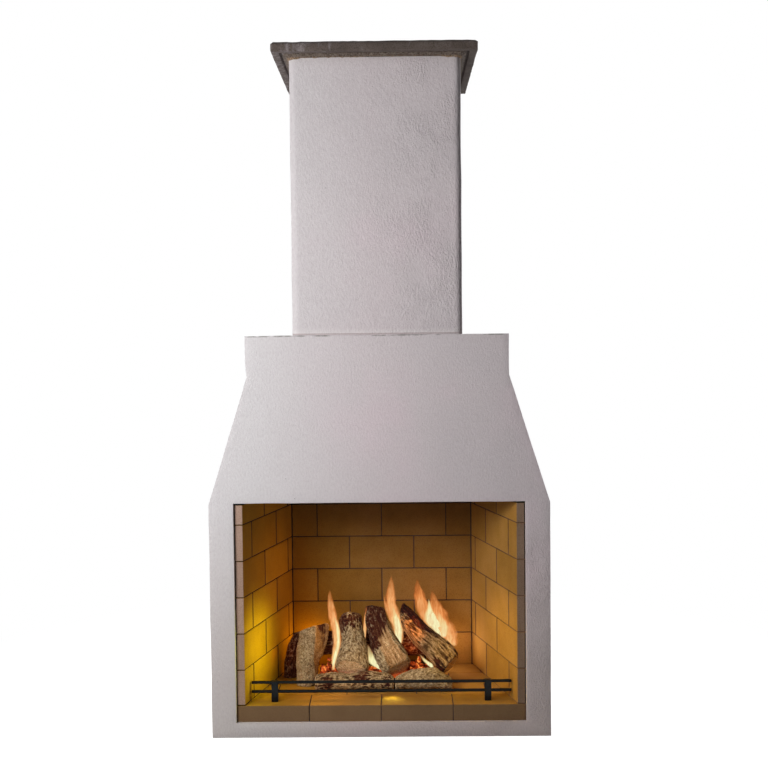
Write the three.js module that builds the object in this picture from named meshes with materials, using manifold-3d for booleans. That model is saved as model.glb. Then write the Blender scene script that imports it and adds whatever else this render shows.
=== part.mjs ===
// Outdoor fireplace of stuccoed masonry: firebrick lining, smoke hood, square chimney with a concrete cap,
// a gas burner with ceramic logs, and a two bar fender that lifts off the hearth.
// Millimetres, +Z up, the front faces -Y, origin on the ground under the middle of the base.
import * as THREE from "three";
import { mergeVertices } from "three/addons/utils/BufferGeometryUtils.js";
import Module from "manifold-3d";

const wasm = await Module();
wasm.setup();

// Masonry as a whole
const bodyWidth = 1088;
const sideHeight = 755;
const hoodRise = 405;
const shoulderRise = 130;
const shoulderLedge = 144;
const chimneySetback = 28;
const stuccoThickness = 12;
const clearance = 0.3;
const cutOverrun = 5;

// Opening in the stucco
const pierWidth = 78.5;
const hearthFaceHeight = 52;
const lintelShownHeight = 2;

// Firebricks, nine inches by four and a half
const brickLength = 228.6;
const brickWidth = 114.3;
const brickThickness = 63.5;
const splitThickness = 32;
const mortarJoint = 3.2;
const mortarRecess = 2;

// Lining
const hearthHeight = 100;
const backWallThickness = 84;
const liningReveal = 27.5;
const liningSplayWidth = 115;
const oddSideJoint = 80;
const evenSideJoint = 198;

// Hood panels, top slab and lintel
const panelThickness = 50;
const topSlabThickness = 38;
const lintelLeg = 75;
const lintelThickness = 6;
const lintelBearingLength = 34;

// Chimney, flue and cap
const flueWidth = 282;
const linerWall = 19;
const linerGap = 20;
const linerCount = 2;
const chimneyBlockWall = 80;
const chimneyBlockHeight = 296;
const chimneyBlockCount = 3;
const chimneyCornerRadius = 22;
const mortarBedThickness = 8;
const mortarBedSetback = 3;
const capOverhang = 51;
const capThickness = 31;
const capChamfer = 8;
const dripGrooveInset = 24;
const dripGrooveWidth = 8.5;
const dripGrooveDepth = 7;

// Burner, embers and rack
const panSideGap = 108;
const panBackGap = 157;
const panDepth = 110;
const panHeight = 30;
const panWall = 2;
const burnerTubeRadius = 11;
const burnerTubeWall = 2;
const burnerTubeEndGap = 20;
const burnerTubeLift = 3;
const burnerPortRadius = 2;
const burnerPortCount = 12;
const emberRise = 7;
const emberBump = 4;
const rackGap = 3;
const rackCradleDepth = 19;
const rackLegInset = 105;
const rackLegThickness = 6;
const rackLegDepth = 70;
const rackLegHeight = 90;
const rackRailHeight = 6;
const rackRailLift = 38;

// Gas supply and its shut off valve
const pipeRadius = 10.6;
const pipeWall = 2.7;
const pipeTail = 18;
const valveLength = 50;
const valveRadius = 17;
const valveSocketDepth = 6;
const stemBossRadius = 9;
const stemBossHeight = 12;
const stemRadius = 4;
const leverLength = 58;
const leverWidth = 15;
const leverThickness = 5;

// Logs
const logLength = 210;
const logRadius = 50;
const logLumpShare = 0.06;
const rearLogSideGap = 68;
const rearLogOffset = 20;
const rearLogRadius = 42;

// Fender
const fenderSetback = 48;
const fenderEndGap = 1.75;
const fenderBarOverhang = 76;
const fenderBarRadius = 5;
const fenderBarPitch = 30;
const fenderPostWidth = 21;
const fenderPostHeight = 67;

// Places worked out from the sizes above
const neckHeight = sideHeight + hoodRise;
const shoulderHeight = neckHeight + shoulderRise;
const chimneyWidth = flueWidth + 2 * (linerWall + linerGap + chimneyBlockWall + stuccoThickness);
const shoulderWidth = chimneyWidth + 2 * shoulderLedge;
const bodyDepth = chimneyWidth + 2 * chimneySetback;
const bodyHalfWidth = bodyWidth / 2;
const bodyFront = -bodyDepth / 2;
const bodyBack = bodyDepth / 2;
const coreFront = bodyFront + stuccoThickness;
const coreBack = bodyBack - stuccoThickness;
const coreHalfWidth = bodyHalfWidth - stuccoThickness;
const neckHalfWidth = shoulderWidth / 2;
const coreNeckHalfWidth = neckHalfWidth - stuccoThickness;
const openingWidth = bodyWidth - 2 * pierWidth;
const openingBottom = hearthHeight - hearthFaceHeight;
const openingTop = sideHeight + lintelShownHeight;
const baseSlabThickness = hearthHeight - brickThickness;
const coursePitch = brickWidth + mortarJoint;
const stretcherPitch = brickLength + mortarJoint;
const liningFrontWidth = openingWidth - 2 * liningReveal;
const liningBackWidth = liningFrontWidth - 2 * liningSplayWidth;
const liningFront = coreFront;
const liningBack = coreBack - backWallThickness - splitThickness;
const liningDepth = liningBack - liningFront;
const liningSlant = Math.hypot(liningDepth, liningSplayWidth);
const liningTop = sideHeight - clearance;
const hearthRowCount = Math.ceil(liningDepth / coursePitch);
const courseCount = Math.ceil((liningTop - hearthHeight - mortarJoint) / coursePitch);
const splitAcross = (splitThickness * liningSlant) / liningDepth;
const topSlabTop = shoulderHeight - stuccoThickness;
const topSlabBottom = topSlabTop - topSlabThickness;
const chimneyBlockWidth = chimneyWidth - 2 * stuccoThickness;
const chimneyBlocksTop = topSlabTop + chimneyBlockCount * chimneyBlockHeight;
const capBottom = chimneyBlocksTop + mortarBedThickness;
const capWidth = chimneyWidth + 2 * capOverhang;
const panWidth = liningBackWidth - 2 * panSideGap;
const panCentreY = liningBack - panBackGap - panDepth / 2;
const burnerTubeLength = panWidth - 2 * burnerTubeEndGap;
const tubeCentreZ = hearthHeight + panWall + burnerTubeLift + burnerTubeRadius;
const emberTop = hearthHeight + panHeight + emberRise;
const valveFront = bodyBack + pipeTail - valveSocketDepth;

// Finishes
function finish(color, roughness, metalness = 0) {
  return new THREE.MeshStandardMaterial({ color, roughness, metalness });
}
const stucco = finish(0xc6bdc0, 0.95);
const concrete = finish(0x8f8a84, 0.95);
const capConcrete = finish(0x57504a, 0.9);
const mortar = finish(0x7a6c60, 0.95);
const firebrick = finish(0xb98a52, 0.9);
const clay = finish(0xa5603c, 0.85);
const blackIron = finish(0x17191a, 0.45, 0.8);
const blackSteel = finish(0x26282a, 0.5, 0.8);
const ceramicLog = finish(0x8a745c, 0.95);
const charredLog = finish(0x2c1713, 0.95);
const ember = finish(0x6e2c18, 0.9);
const brass = finish(0xb08d4a, 0.35, 1);
const galvanised = finish(0x8d9092, 0.5, 0.9);

const fireplace = new THREE.Group();

function add(name, geometry, material, parent = fireplace) {
  const mesh = new THREE.Mesh(geometry, material);
  mesh.name = name;
  parent.add(mesh);
  return mesh;
}

// Solids
function toSolid(geometry) {
  const bare = geometry.clone();
  bare.deleteAttribute("normal");
  bare.deleteAttribute("uv");
  const merged = mergeVertices(bare);
  return new wasm.Manifold(new wasm.Mesh({
    numProp: 3,
    vertProperties: new Float32Array(merged.attributes.position.array),
    triVerts: new Uint32Array(merged.index.array),
  }));
}

function toGeometry(solid) {
  const { vertProperties, triVerts } = solid.getMesh();
  const geometry = new THREE.BufferGeometry();
  geometry.setAttribute("position", new THREE.BufferAttribute(new Float32Array(vertProperties), 3));
  geometry.setIndex(new THREE.BufferAttribute(new Uint32Array(triVerts), 1));
  return geometry;
}

function cut(geometry, ...tools) {
  return toGeometry(tools.reduce((solid, tool) => solid.subtract(toSolid(tool)), toSolid(geometry)));
}

function join(geometry, ...others) {
  return toGeometry(others.reduce((solid, other) => solid.add(toSolid(other)), toSolid(geometry)));
}

function mirrored(geometry) {
  const copy = geometry.index ? geometry.toNonIndexed() : geometry.clone();
  copy.scale(-1, 1, 1);
  const place = copy.attributes.position;
  for (let i = 0; i < place.count; i += 3) {
    const a = new THREE.Vector3().fromBufferAttribute(place, i);
    const b = new THREE.Vector3().fromBufferAttribute(place, i + 1);
    place.setXYZ(i, b.x, b.y, b.z);
    place.setXYZ(i + 1, a.x, a.y, a.z);
  }
  return copy;
}

// A box between two corners
function block(x0, x1, y0, y1, z0, z1) {
  const geometry = new THREE.BoxGeometry(x1 - x0, y1 - y0, z1 - z0);
  return geometry.translate((x0 + x1) / 2, (y0 + y1) / 2, (z0 + z1) / 2);
}

// A plan outline raised from one height to another
function raised(outline, z0, z1) {
  const shape = new THREE.Shape(outline.map(([x, y]) => new THREE.Vector2(x, y)));
  const geometry = new THREE.ExtrudeGeometry(shape, { depth: z1 - z0, bevelEnabled: false });
  return geometry.translate(0, 0, z0);
}

// A front outline in X and Z carried back from one depth to another
function carriedBack(outline, y0, y1) {
  return raised(outline, 0, y1 - y0).rotateX(Math.PI / 2).translate(0, y1, 0);
}

// A round bar along X, Y or Z
const roundSides = 16;
const smallRoundSides = 8;
function bar(axis, radius, length, centre, sides = roundSides) {
  const geometry = new THREE.CylinderGeometry(radius, radius, length, sides);
  if (axis === "x") geometry.rotateZ(Math.PI / 2);
  if (axis === "z") geometry.rotateX(Math.PI / 2);
  return geometry.translate(...centre);
}

// Base slab and the core blocks behind the firebricks
const hearthHalfWidth = openingWidth / 2;
add("base_slab", block(-coreHalfWidth, coreHalfWidth, coreFront, coreBack, 0, baseSlabThickness), concrete);

const liningHalf = (y) => liningFrontWidth / 2 - (liningSplayWidth * (y - liningFront)) / liningDepth;
const backCoreFront = liningBack + splitThickness + clearance;

function sideCore() {
  const behindLining = (y) => liningHalf(y) + splitAcross + clearance;
  const foot = block(hearthHalfWidth + clearance, coreHalfWidth, coreFront + clearance, backCoreFront,
    baseSlabThickness + clearance, hearthHeight);
  const wall = raised([
    [behindLining(liningFront), coreFront + clearance],
    [coreHalfWidth, coreFront + clearance],
    [coreHalfWidth, backCoreFront],
    [behindLining(liningBack), backCoreFront],
    [behindLining(liningBack), liningBack],
  ], hearthHeight + clearance, sideHeight);
  const heel = raised([
    [behindLining(liningFront) + clearance, coreFront + clearance],
    [coreHalfWidth, coreFront + clearance],
    [coreHalfWidth, backCoreFront],
    [hearthHalfWidth + clearance, backCoreFront],
  ], hearthHeight - clearance, hearthHeight + 2 * clearance);
  return join(foot, wall, heel);
}
const rightCore = sideCore();
add("side_core_right", rightCore, concrete);
add("side_core_left", mirrored(rightCore), concrete);

const pipeHole = (y0, y1) => bar("y", pipeRadius + clearance, y1 - y0 + 2 * cutOverrun,
  [0, (y0 + y1) / 2, tubeCentreZ]);
const backCoreHeel = block(-hearthHalfWidth, hearthHalfWidth, liningFront + hearthRowCount * coursePitch,
  coreBack, baseSlabThickness + clearance, hearthHeight);
const backCoreWall = block(-coreHalfWidth, coreHalfWidth, backCoreFront + clearance, coreBack,
  hearthHeight - clearance, sideHeight);
add("back_core", cut(join(backCoreHeel, backCoreWall), pipeHole(backCoreFront, coreBack)), concrete);

// Hearth: rows of bricks laid flat, with the joints raked out
function hearthOutline(firstJoint, top) {
  const bottom = baseSlabThickness + clearance;
  const outline = [[-hearthHalfWidth, bottom], [hearthHalfWidth, bottom], [hearthHalfWidth, top]];
  for (let x = firstJoint; x > -hearthHalfWidth + mortarJoint; x -= stretcherPitch) {
    const right = x + mortarJoint / 2;
    const left = x - mortarJoint / 2;
    outline.push([right, top], [right, top - mortarRecess], [left, top - mortarRecess], [left, top]);
  }
  outline.push([-hearthHalfWidth, top]);
  return outline;
}
for (let row = 0; row < hearthRowCount; row += 1) {
  const firstJoint = row % 2 === 0 ? stretcherPitch : 1.5 * stretcherPitch;
  const front = liningFront + row * coursePitch;
  const back = front + coursePitch - clearance;
  const mortarFront = front + brickWidth;
  const bricks = carriedBack(hearthOutline(firstJoint, hearthHeight), front + clearance, back);
  const rakedJoint = block(-hearthHalfWidth - cutOverrun, hearthHalfWidth + cutOverrun, mortarFront,
    back + cutOverrun, hearthHeight - mortarRecess, hearthHeight + cutOverrun);
  add(`hearth_row_${row + 1}`, cut(bricks, rakedJoint), firebrick);
}

// Lining courses: splits on edge, in stretcher bond, with the joints raked out
function courseHeights(course) {
  const bottom = hearthHeight + course * coursePitch + clearance;
  const top = Math.min(hearthHeight + (course + 1) * coursePitch, liningTop);
  return { bottom, top, bedJoint: Math.min(bottom + brickWidth, top) };
}

function rakedCourse(faceOutline, backOutline, { bottom, bedJoint, top }) {
  const bricks = raised(faceOutline, bottom, bedJoint);
  if (top - bedJoint < clearance) return bricks;
  return join(bricks, raised(backOutline, bedJoint - clearance, top));
}

function sideCourse(course) {
  const start = new THREE.Vector2(liningFrontWidth / 2, liningFront + clearance);
  const along = new THREE.Vector2(-liningSplayWidth, liningDepth).normalize();
  const outward = new THREE.Vector2(liningDepth, liningSplayWidth).normalize();
  const end = start.clone().addScaledVector(along, liningSlant - 2 * clearance);
  const face = [[start.x + splitAcross, start.y], [end.x + splitAcross, end.y], [end.x, end.y]];
  const joints = [];
  const firstJoint = course % 2 === 0 ? oddSideJoint : evenSideJoint;
  for (let s = firstJoint; s < liningSlant - mortarJoint; s += stretcherPitch) joints.unshift(s);
  for (const s of joints) {
    const middle = start.clone().addScaledVector(along, s);
    const near = middle.clone().addScaledVector(along, -mortarJoint / 2);
    const far = middle.clone().addScaledVector(along, mortarJoint / 2);
    const nearDeep = near.clone().addScaledVector(outward, mortarRecess);
    const farDeep = far.clone().addScaledVector(outward, mortarRecess);
    face.push([far.x, far.y], [farDeep.x, farDeep.y], [nearDeep.x, nearDeep.y], [near.x, near.y]);
  }
  face.push([start.x, start.y]);
  const back = [[start.x + splitAcross, start.y], [end.x + splitAcross, end.y],
    [end.x + mortarRecess, end.y], [start.x + mortarRecess, start.y]];
  return rakedCourse(face, back, courseHeights(course));
}

function backCourse(course) {
  const halfWidth = liningHalf(liningBack) + splitAcross;
  const front = liningBack;
  const back = liningBack + splitThickness;
  const face = [[halfWidth, front], [halfWidth, back], [-halfWidth, back], [-halfWidth, front]];
  const firstJoint = course % 2 === 0 ? -stretcherPitch : -stretcherPitch / 2;
  for (let x = firstJoint; x < liningBackWidth / 2 - mortarJoint; x += stretcherPitch) {
    const left = x - mortarJoint / 2;
    const right = x + mortarJoint / 2;
    face.push([left, front], [left, front + mortarRecess], [right, front + mortarRecess], [right, front]);
  }
  const recessed = [[halfWidth, front + mortarRecess], [halfWidth, back], [-halfWidth, back],
    [-halfWidth, front + mortarRecess]];
  return rakedCourse(face, recessed, courseHeights(course));
}

const liningPipeHole = pipeHole(liningBack, liningBack + splitThickness);
for (let course = 0; course < courseCount; course += 1) {
  const back = backCourse(course);
  const hasPipe = course === 0;
  add(`back_course_${course + 1}`, hasPipe ? cut(back, liningPipeHole) : back, firebrick);
  const right = sideCourse(course);
  add(`right_course_${course + 1}`, right, firebrick);
  add(`left_course_${course + 1}`, mirrored(right), firebrick);
}

// Steel lintel angle, which carries the front panel over the opening
const lintelHalf = openingWidth / 2 + lintelBearingLength;
const lintelBack = coreFront + lintelLeg;
const lintelTop = sideHeight + clearance + lintelThickness;
const uprightLegFront = coreFront + panelThickness + clearance;
add("lintel_angle", join(
  block(-lintelHalf, lintelHalf, coreFront + clearance, lintelBack, sideHeight + clearance, lintelTop),
  block(-lintelHalf, lintelHalf, uprightLegFront, uprightLegFront + lintelThickness,
    sideHeight + clearance, sideHeight + lintelLeg),
), blackSteel);

// Hood panels, which close the smoke chamber and carry the top slab
const panelTop = topSlabBottom - clearance;
const slopeHalfWidth = (z) => {
  const share = (z - sideHeight) / (neckHeight - sideHeight);
  return coreHalfWidth - (coreHalfWidth - coreNeckHalfWidth) * share;
};
function hoodOutline(bottom) {
  return [[-slopeHalfWidth(bottom), bottom], [slopeHalfWidth(bottom), bottom],
    [coreNeckHalfWidth, neckHeight], [coreNeckHalfWidth, panelTop],
    [-coreNeckHalfWidth, panelTop], [-coreNeckHalfWidth, neckHeight]];
}
add("hood_front_panel", carriedBack(hoodOutline(lintelTop + clearance), coreFront + clearance,
  coreFront + panelThickness), concrete);
add("hood_back_panel", carriedBack(hoodOutline(sideHeight + clearance), coreBack - panelThickness, coreBack),
  concrete);

function hoodSide() {
  const foot = sideHeight + clearance;
  const outline = [[slopeHalfWidth(foot) - panelThickness, foot], [slopeHalfWidth(foot), foot],
    [coreNeckHalfWidth, neckHeight], [coreNeckHalfWidth, panelTop],
    [coreNeckHalfWidth - panelThickness, panelTop], [coreNeckHalfWidth - panelThickness, neckHeight]];
  const panel = carriedBack(outline, coreFront + panelThickness + clearance,
    coreBack - panelThickness - clearance);
  const lintelRoom = block(-lintelHalf - clearance, lintelHalf + clearance, coreFront,
    lintelBack + clearance, sideHeight, lintelTop + clearance);
  const legRoom = block(-lintelHalf - clearance, lintelHalf + clearance, coreFront,
    uprightLegFront + lintelThickness + clearance, sideHeight, sideHeight + lintelLeg + clearance);
  return cut(panel, lintelRoom, legRoom);
}
const rightHoodSide = hoodSide();
add("hood_right_panel", rightHoodSide, concrete);
add("hood_left_panel", mirrored(rightHoodSide), concrete);

const flueHalf = flueWidth / 2;
const squareTube = (halfWidth, holeHalf, z0, z1) => cut(
  block(-halfWidth, halfWidth, -halfWidth, halfWidth, z0, z1),
  block(-holeHalf, holeHalf, -holeHalf, holeHalf, z0 - cutOverrun, z1 + cutOverrun),
);
add("hood_top_slab", cut(
  block(-coreNeckHalfWidth, coreNeckHalfWidth, coreFront + clearance, coreBack, topSlabBottom,
    topSlabTop - clearance),
  block(-flueHalf, flueHalf, -flueHalf, flueHalf, topSlabBottom - cutOverrun, topSlabTop + cutOverrun),
), concrete);

// Chimney blocks and flue liners, stacked on the top slab
const chimney = new THREE.Group();
chimney.position.z = topSlabTop;
fireplace.add(chimney);
const blockGeometry = squareTube(chimneyBlockWidth / 2, chimneyBlockWidth / 2 - chimneyBlockWall, 0,
  chimneyBlockHeight - clearance);
for (let i = 0; i < chimneyBlockCount; i += 1) {
  add(`chimney_block_${i + 1}`, blockGeometry, concrete, chimney).position.z = i * chimneyBlockHeight;
}
const linerHeight = (chimneyBlocksTop - topSlabTop) / linerCount;
const linerGeometry = squareTube(flueHalf + linerWall, flueHalf, 0, linerHeight - clearance);
for (let i = 0; i < linerCount; i += 1) {
  add(`flue_liner_${i + 1}`, linerGeometry, clay, chimney).position.z = i * linerHeight;
}

// Mortar bed and the concrete cap with its drip groove
add("cap_mortar_bed", squareTube(chimneyWidth / 2 - mortarBedSetback, flueHalf, chimneyBlocksTop,
  capBottom - clearance), mortar);

function capGeometry() {
  const half = capWidth / 2;
  const top = capBottom + capThickness;
  const slab = block(-half, half, -half, half, capBottom, top - capChamfer);
  const crown = new THREE.CylinderGeometry((half - capChamfer) * Math.SQRT2, half * Math.SQRT2,
    capChamfer, 4);
  crown.rotateX(Math.PI / 2).rotateZ(Math.PI / 4).translate(0, 0, top - capChamfer / 2);
  const grooveOuter = half - dripGrooveInset;
  const grooveInner = grooveOuter - dripGrooveWidth;
  const groove = squareTube(grooveOuter, grooveInner, capBottom - cutOverrun, capBottom + dripGrooveDepth);
  const flue = block(-flueHalf, flueHalf, -flueHalf, flueHalf, capBottom - cutOverrun, top + cutOverrun);
  return cut(join(slab, crown), groove, flue);
}
add("chimney_cap", capGeometry(), capConcrete);

// Stucco coat on the body, in one piece round the cores and panels
const openingHalf = openingWidth / 2;
function bodyOutline(halfWidth, neckHalf, top, bottom) {
  return [[-halfWidth, bottom], [halfWidth, bottom], [halfWidth, sideHeight], [neckHalf, neckHeight],
    [neckHalf, top], [-neckHalf, top], [-neckHalf, neckHeight], [-halfWidth, sideHeight]];
}
function bodyStucco() {
  const outside = carriedBack(bodyOutline(bodyHalfWidth, neckHalfWidth, shoulderHeight, 0), bodyFront,
    bodyBack);
  const inside = carriedBack(bodyOutline(coreHalfWidth + clearance, coreNeckHalfWidth + clearance,
    topSlabTop, -cutOverrun), coreFront, coreBack + clearance);
  const opening = block(-openingHalf, openingHalf, bodyFront - cutOverrun, coreFront + cutOverrun,
    openingBottom, openingTop);
  const chimneyHole = chimneyBlockWidth / 2 + clearance;
  const top = block(-chimneyHole, chimneyHole, -chimneyHole, chimneyHole, topSlabTop - cutOverrun,
    shoulderHeight + cutOverrun);
  return cut(outside, inside, opening, top, pipeHole(coreBack, bodyBack));
}
add("stucco_body", bodyStucco(), stucco);

// Stucco coat on the chimney, with rounded corners
function roundedSquare(half, radius) {
  const shape = new THREE.Shape();
  shape.absarc(half - radius, half - radius, radius, 0, Math.PI / 2);
  shape.absarc(radius - half, half - radius, radius, Math.PI / 2, Math.PI);
  shape.absarc(radius - half, radius - half, radius, Math.PI, 1.5 * Math.PI);
  shape.absarc(half - radius, radius - half, radius, 1.5 * Math.PI, 2 * Math.PI);
  return shape;
}
const cornerSteps = 4;
const chimneyStuccoHeight = chimneyBlocksTop - shoulderHeight - 2 * clearance;
const chimneyCoat = new THREE.ExtrudeGeometry(roundedSquare(chimneyWidth / 2, chimneyCornerRadius),
  { depth: chimneyStuccoHeight, bevelEnabled: false, curveSegments: cornerSteps });
const chimneyCore = chimneyBlockWidth / 2 + clearance;
const chimneyCoreRoom = block(-chimneyCore, chimneyCore, -chimneyCore, chimneyCore, -cutOverrun,
  chimneyStuccoHeight + cutOverrun);
add("stucco_chimney", cut(chimneyCoat, chimneyCoreRoom), stucco).position.z = shoulderHeight + clearance;

// Burner pan with its tube, ports up, in a bed of embers
const panHalf = panWidth / 2;
const panFront = panCentreY - panDepth / 2;
const panBack = panCentreY + panDepth / 2;
const panBottom = hearthHeight + clearance;
add("burner_pan", cut(
  block(-panHalf, panHalf, panFront, panBack, panBottom, panBottom + panHeight),
  block(panWall - panHalf, panHalf - panWall, panFront + panWall, panBack - panWall, panBottom + panWall,
    panBottom + panHeight + cutOverrun),
  pipeHole(panBack - panWall, panBack),
), blackSteel);

function burnerTube() {
  const tube = bar("x", burnerTubeRadius, burnerTubeLength, [0, panCentreY, tubeCentreZ]);
  const hollow = bar("x", burnerTubeRadius - burnerTubeWall, burnerTubeLength - 2 * burnerTubeWall,
    [0, panCentreY, tubeCentreZ]);
  const ports = Array.from({ length: burnerPortCount }, (_, i) => {
    const x = ((i + 0.5) / burnerPortCount - 0.5) * (burnerTubeLength - 2 * burnerTubeRadius);
    return bar("z", burnerPortRadius, burnerTubeRadius, [x, panCentreY, tubeCentreZ + burnerTubeRadius],
      smallRoundSides);
  });
  const inlet = bar("y", pipeRadius - pipeWall, burnerTubeRadius,
    [0, panCentreY + burnerTubeRadius, tubeCentreZ]);
  return cut(tube, hollow, ...ports, inlet);
}
add("burner_tube", burnerTube(), blackSteel);

// A closed solid between a flat bottom and a lumpy top
function lumpyBed(x0, x1, y0, y1, bottom, top, bump, cellsX, cellsY) {
  const places = [];
  const faces = [];
  const row = cellsX + 1;
  const layer = row * (cellsY + 1);
  for (const level of [bottom, top]) {
    for (let j = 0; j <= cellsY; j += 1) {
      for (let i = 0; i <= cellsX; i += 1) {
        const inner = level === top && i > 0 && j > 0 && i < cellsX && j < cellsY;
        const lump = inner ? bump * Math.sin(2.3 * i + 1.7 * j) * Math.cos(1.1 * i - 2.9 * j) : 0;
        places.push(x0 + ((x1 - x0) * i) / cellsX, y0 + ((y1 - y0) * j) / cellsY, level + lump);
      }
    }
  }
  const quad = (a, b, c, d) => faces.push(a, b, c, a, c, d);
  for (let j = 0; j < cellsY; j += 1) {
    for (let i = 0; i < cellsX; i += 1) {
      const a = j * row + i;
      quad(a, a + row, a + row + 1, a + 1);
      quad(layer + a, layer + a + 1, layer + a + row + 1, layer + a + row);
    }
  }
  for (let i = 0; i < cellsX; i += 1) {
    const far = cellsY * row + i;
    quad(i, i + 1, layer + i + 1, layer + i);
    quad(far + 1, far, layer + far, layer + far + 1);
  }
  for (let j = 0; j < cellsY; j += 1) {
    const a = j * row;
    const b = a + cellsX;
    quad(a + row, a, layer + a, layer + a + row);
    quad(b, b + row, layer + b + row, layer + b);
  }
  const geometry = new THREE.BufferGeometry();
  geometry.setAttribute("position", new THREE.BufferAttribute(new Float32Array(places), 3));
  geometry.setIndex(faces);
  return geometry;
}
const emberInset = panWall + clearance;
const emberCellsAcross = 16;
const emberCellsAlong = 5;
const tubeRoom = bar("x", burnerTubeRadius + clearance, burnerTubeLength + 2 * clearance,
  [0, panCentreY, tubeCentreZ]);
const pipeFront = panCentreY + burnerTubeRadius + clearance;
const pipeRoom = bar("y", pipeRadius + clearance, panDepth, [0, panCentreY + panDepth / 2, tubeCentreZ]);
const embers = (bottom, top) => lumpyBed(emberInset - panHalf, panHalf - emberInset, panFront + emberInset,
  panBack - emberInset, bottom, top, emberBump, emberCellsAcross, emberCellsAlong);
add("ember_bed", cut(embers(panBottom + panWall + clearance, emberTop), tubeRoom, pipeRoom), ember);

// Gas supply pipe through the back wall, with the shut off valve outside
const pipeEnd = bodyBack + pipeTail;
const pipeLength = pipeEnd - pipeFront;
const pipeMiddle = [0, (pipeFront + pipeEnd) / 2, tubeCentreZ];
add("gas_supply_pipe", cut(
  bar("y", pipeRadius, pipeLength, pipeMiddle),
  bar("y", pipeRadius - pipeWall, pipeLength + 2 * cutOverrun, pipeMiddle),
  tubeRoom,
), galvanised);

const valveMiddle = valveFront + valveLength / 2;
const bossTop = tubeCentreZ + valveRadius + stemBossHeight;
const stemFoot = tubeCentreZ + valveRadius;
add("gas_valve_body", cut(
  join(
    bar("y", valveRadius, valveLength, [0, valveMiddle, tubeCentreZ], smallRoundSides),
    bar("z", stemBossRadius, valveRadius + stemBossHeight,
      [0, valveMiddle, tubeCentreZ + (valveRadius + stemBossHeight) / 2]),
  ),
  bar("y", pipeRadius - pipeWall, valveLength + 2 * cutOverrun, [0, valveMiddle, tubeCentreZ]),
  bar("y", pipeRadius + clearance, 2 * valveSocketDepth, [0, valveFront, tubeCentreZ]),
  bar("y", pipeRadius + clearance, 2 * valveSocketDepth, [0, valveFront + valveLength, tubeCentreZ]),
  bar("z", stemRadius + clearance, 2 * stemBossHeight, [0, valveMiddle, bossTop]),
), brass);

// Quarter turn lever on its stem, shown open, in line with the pipe
const leverBottom = bossTop + clearance;
add("gas_valve_lever", join(
  bar("z", stemRadius, leverBottom + leverThickness - stemFoot - clearance,
    [0, valveMiddle, (leverBottom + leverThickness + stemFoot + clearance) / 2]),
  bar("z", leverWidth / 2, leverThickness, [0, valveMiddle, leverBottom + leverThickness / 2]),
  block(-leverWidth / 2, leverWidth / 2, valveMiddle, valveMiddle + leverLength, leverBottom,
    leverBottom + leverThickness),
), brass);

// Logs: lumpy tapered rounds, seated on each other with a small clearance
const logSides = 14;
const logRings = 7;
function round(foot, head, footRadius, headRadius, lump, phase, grow = 0) {
  const axis = head.clone().sub(foot);
  const length = axis.length();
  axis.normalize();
  const side = new THREE.Vector3(0, 1, 0).cross(axis).normalize();
  const up = axis.clone().cross(side).normalize();
  const places = [];
  const faces = [];
  for (let k = 0; k < logRings; k += 1) {
    const share = k / (logRings - 1);
    const radius = footRadius + (headRadius - footRadius) * share;
    const at = foot.clone().addScaledVector(axis, share * (length + 2 * grow) - grow);
    for (let i = 0; i < logSides; i += 1) {
      const angle = (2 * Math.PI * i) / logSides;
      const wave = Math.sin(3 * angle + phase + 2.1 * k) + 0.6 * Math.sin(5 * angle - phase * 2 + 1.3 * k);
      const reach = radius * (1 + lump * wave) + grow;
      const place = at.clone().addScaledVector(side, reach * Math.cos(angle))
        .addScaledVector(up, reach * Math.sin(angle));
      places.push(place.x, place.y, place.z);
    }
  }
  const footCentre = foot.clone().addScaledVector(axis, -grow);
  const headCentre = head.clone().addScaledVector(axis, grow);
  places.push(footCentre.x, footCentre.y, footCentre.z, headCentre.x, headCentre.y, headCentre.z);
  const last = (logRings - 1) * logSides;
  for (let i = 0; i < logSides; i += 1) {
    const next = (i + 1) % logSides;
    for (let k = 0; k < logRings - 1; k += 1) {
      const a = k * logSides + i;
      const b = k * logSides + next;
      faces.push(a, b, b + logSides, a, b + logSides, a + logSides);
    }
    faces.push(logRings * logSides, next, i);
    faces.push(logRings * logSides + 1, last + i, last + next);
  }
  const geometry = new THREE.BufferGeometry();
  geometry.setAttribute("position", new THREE.BufferAttribute(new Float32Array(places), 3));
  geometry.setIndex(faces);
  return geometry;
}

// Each foot stands at a share of the back wall's width, which is its middle or its left end, and across from
// there by a share of the common log, as are heights over the hearth, lengths and end radii; its place along
// the depth is a share of the pan. Leans are in degrees, back from upright and towards +X.
const logShares = [
  { name: "log_left", wall: -0.5, across: 0.305, along: -0.23, up: -0.06, length: 1.06, foot: 0.68,
    head: 0.98, back: 18.5, side: 9, phase: 0.4 },
  { name: "log_left_rear", wall: -0.5, across: 0.023, along: 0.66, up: -0.06, length: 0.82, foot: 0.68,
    head: 0.56, back: 4, side: 1, phase: 1.9 },
  { name: "log_centre_left", wall: 0, across: -0.496, along: -0.46, up: 0.29, length: 0.84, foot: 1.06,
    head: 0.84, back: 33, side: -2, phase: 2.6 },
  { name: "log_centre", wall: 0, across: 0.248, along: -0.47, up: 0.29, length: 1.02, foot: 0.94,
    head: 0.68, back: 31.4, side: -25.2, phase: 0.9 },
  { name: "log_right", wall: 0, across: 1.143, along: -0.37, up: 0.386, length: 1.2, foot: 0.92,
    head: 0.84, back: 24, side: -53, phase: 3.3 },
  { name: "log_front", wall: 0, across: 0.266, along: -0.83, up: 0.148, length: 1.33, foot: 0.6,
    head: 0.58, back: 0, side: -90, phase: 1.2 },
  { name: "log_front_right", wall: 0, across: 1.143, along: -0.85, up: 0.15, length: 0.82, foot: 0.6,
    head: 0.62, back: 0, side: -90, phase: 4.1 },
];
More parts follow.
